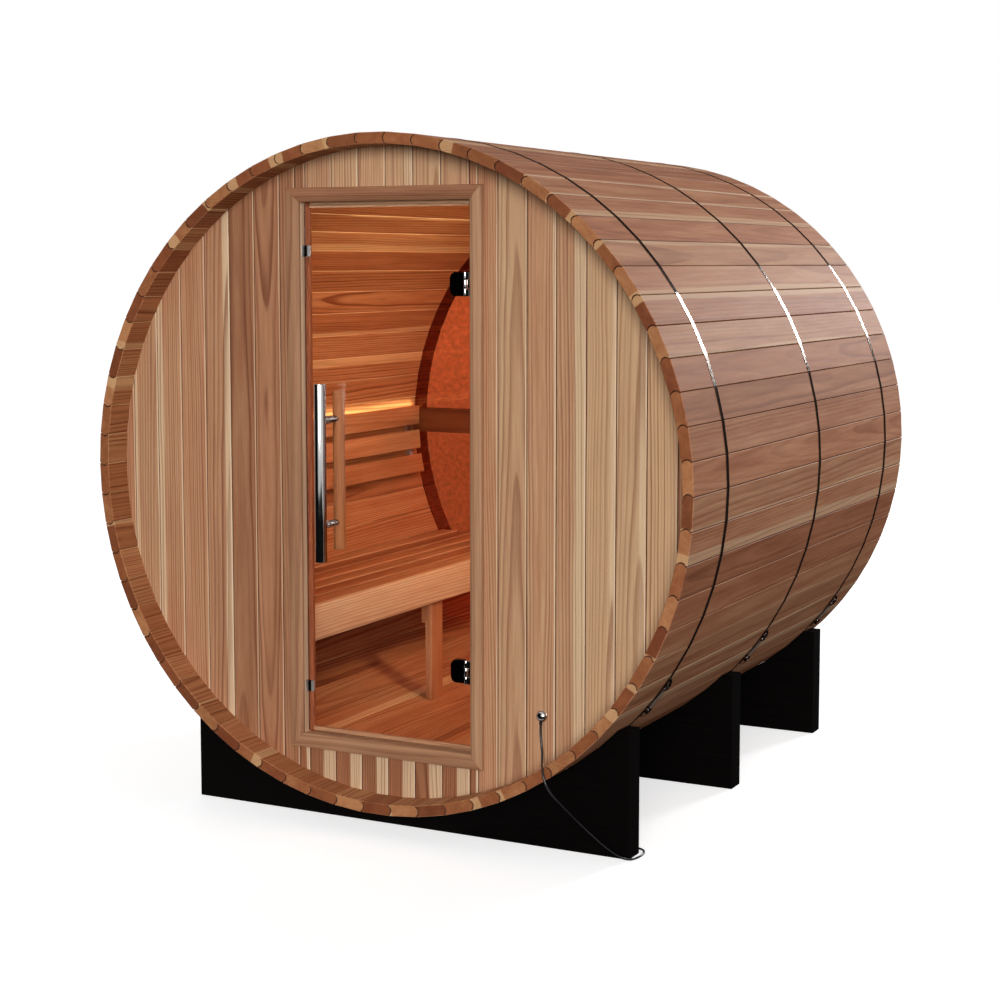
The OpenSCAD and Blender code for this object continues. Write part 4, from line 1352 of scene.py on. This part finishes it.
def add_dark_cards():
    """Dark cards around the object, which only reflections meet. They give steel its dark side,
    keep the door glass clear, and leave the wood its colour where it is seen aslant. Some fade out
    towards an edge."""
    g = Graph("dark_card")
    dark = g.surface(Base_Color=grey(0.01), Roughness=1.0, Specular_IOR_Level=0.0)
    reflected = g.math("MINIMUM", g.node("LightPath").outputs["Glossy Depth"], 1.0)
    depth = g.node("Attribute", {"attribute_name": "darkness"}).outputs["Fac"]
    share = g.times(reflected, g.step(depth, 0.0, CARD_FADE))
    g.mixed(share, g.node("BsdfTransparent").outputs[0], dark.outputs[0])
    even, to_left, to_top = (1.0, 1.0, 1.0, 1.0), (0.0, 1.0, 1.0, 0.0), (1.0, 1.0, 0.0, 0.0)
    high, low, lower = CARD_H, 0.006, 0.004
    cards = {
        "left": (((0.2, -12, 0), (-13, -3, 0), (-13, -3, high), (0.2, -12, high)), to_left),
        "rear": (((-14, 9, 0), (22, 9, 0), (22, 9, high), (-14, 9, high)), to_top),
        "floor_left": (((-2, -10.5, lower), (-13, -3, lower), (-2.6, -1, lower), (-0.2, -1.6, lower)), even),
        "floor_rear": (((-14, 9, lower), (22, 9, lower), (9, -1.2, lower), (0.72, -1.2, lower)), even),
        "floor_near": (((-2, -7.6, low), (-1, -1.3, low), (3.5, -1.3, low), (6.5, -6.6, low)), to_left),
    }
    for side, (corners, darkness) in cards.items():
        made = card("dark_" + side, corners)
        made.data.attributes.new("darkness", "FLOAT", "POINT").data.foreach_set("value", darkness)
        made.data.materials.append(g.material)
        made.visible_camera = made.visible_diffuse = made.visible_shadow = False


def add_world():
    """White for the eye and for reflections, a lower even light for the surfaces."""
    world = bpy.data.worlds.new("studio")
    bpy.context.scene.world = world
    g = Graph(world, "World")
    seen = g.node("Background", Color=grey(1.0), Strength=1.0).outputs[0]
    lit = g.node("Background", Color=grey(1.0), Strength=AMBIENT).outputs[0]
    g.mixed(g.background_ray(), lit, seen)


def area_light(name, place, target, size, power, colour=(1, 1, 1), size_y=None):
    """A rectangular lamp in watts, size by size_y metres, that faces its target."""
    data = bpy.data.lights.new(name, "AREA")
    data.energy = power
    data.color = colour
    data.shape = "RECTANGLE"
    data.size = size
    data.size_y = size_y or size
    lamp = link(name, data)
    lamp.location = place
    lamp.rotation_euler = (Vector(target) - Vector(place)).to_track_quat("-Z", "Y").to_euler()
    return lamp


def sun(name, azimuth, elevation, strength, angle):
    """A broad lamp far off. azimuth is in degrees from the door's side towards +X."""
    data = bpy.data.lights.new(name, "SUN")
    data.energy = strength
    data.angle = math.radians(angle)
    lamp = link(name, data)
    a, e = math.radians(azimuth), math.radians(elevation)
    towards = Vector((math.sin(a) * math.cos(e), -math.cos(a) * math.cos(e), math.sin(e)))
    lamp.rotation_euler = towards.to_track_quat("Z", "Y").to_euler()
    return lamp


def add_lights():
    """A broad sun from the front, a softbox and a weak sun behind, and warm lamps in the cabin."""
    sun("key", azimuth=23, elevation=11, strength=2.65, angle=30)
    softbox = area_light("rear_softbox", place=(2.86, 8.8, 3.78), target=(0.9, -0.2, 1.4),
                         size=2.0, power=400, size_y=1.4)
    softbox.rotation_euler.rotate_axis("Z", math.radians(45))
    softbox.visible_camera = softbox.visible_transmission = False
    fill = sun("fill", azimuth=215, elevation=8, strength=0.9, angle=30)
    fill.visible_glossy = fill.visible_transmission = False
    warm, strip_colour = (0.92, 0.74, 0.50), (1.0, 0.92, 0.55)
    right = area_light("cabin_right", place=(0.62, 0.30, 1.30), target=(-0.5, -0.1, 0.7),
                       size=0.18, power=8.6, colour=warm)
    top = area_light("cabin_top", place=(0.10, 0.1, 1.76), target=(-0.9, 0, 1.3),
                     size=1.2, power=6.3, colour=warm, size_y=0.3)
    low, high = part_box("backrest_light")
    centre = Vector((low.x + 0.016, (low.y + high.y) / 2, high.z + 0.010))
    strip = area_light("strip_glow", place=centre, target=centre - Vector((1, 0, 0)),
                       size=high.y - low.y, power=0.6, colour=strip_colour, size_y=0.012)
    for lamp in (right, top, strip):
        lamp.visible_camera = lamp.visible_glossy = lamp.visible_transmission = False


# -------- make it

add_camera()
add_lead()
add_cable_cap()
add_staves()
add_front_wall()
add_casing()
add_door_frame()
finish_node("door_glass", "door_glass", "glass_edge")
add_handles()
for side_name in ("upper", "lower"):
    add_hinge(side_name)
add_catches()
for pane in ("rear_glass_upper", "rear_glass_lower"):
    finish_node(pane, "bronze")
add_rail()
add_bench()
add_backrest()
finish_node("backrest_strips", "strip")
finish_node("backrest_light", "glow")
add_bands()
add_clamps()
add_cradles()
add_floor()
add_dark_cards()
add_world()
add_lights()
bpy.context.scene.view_settings.view_transform = "Standard"
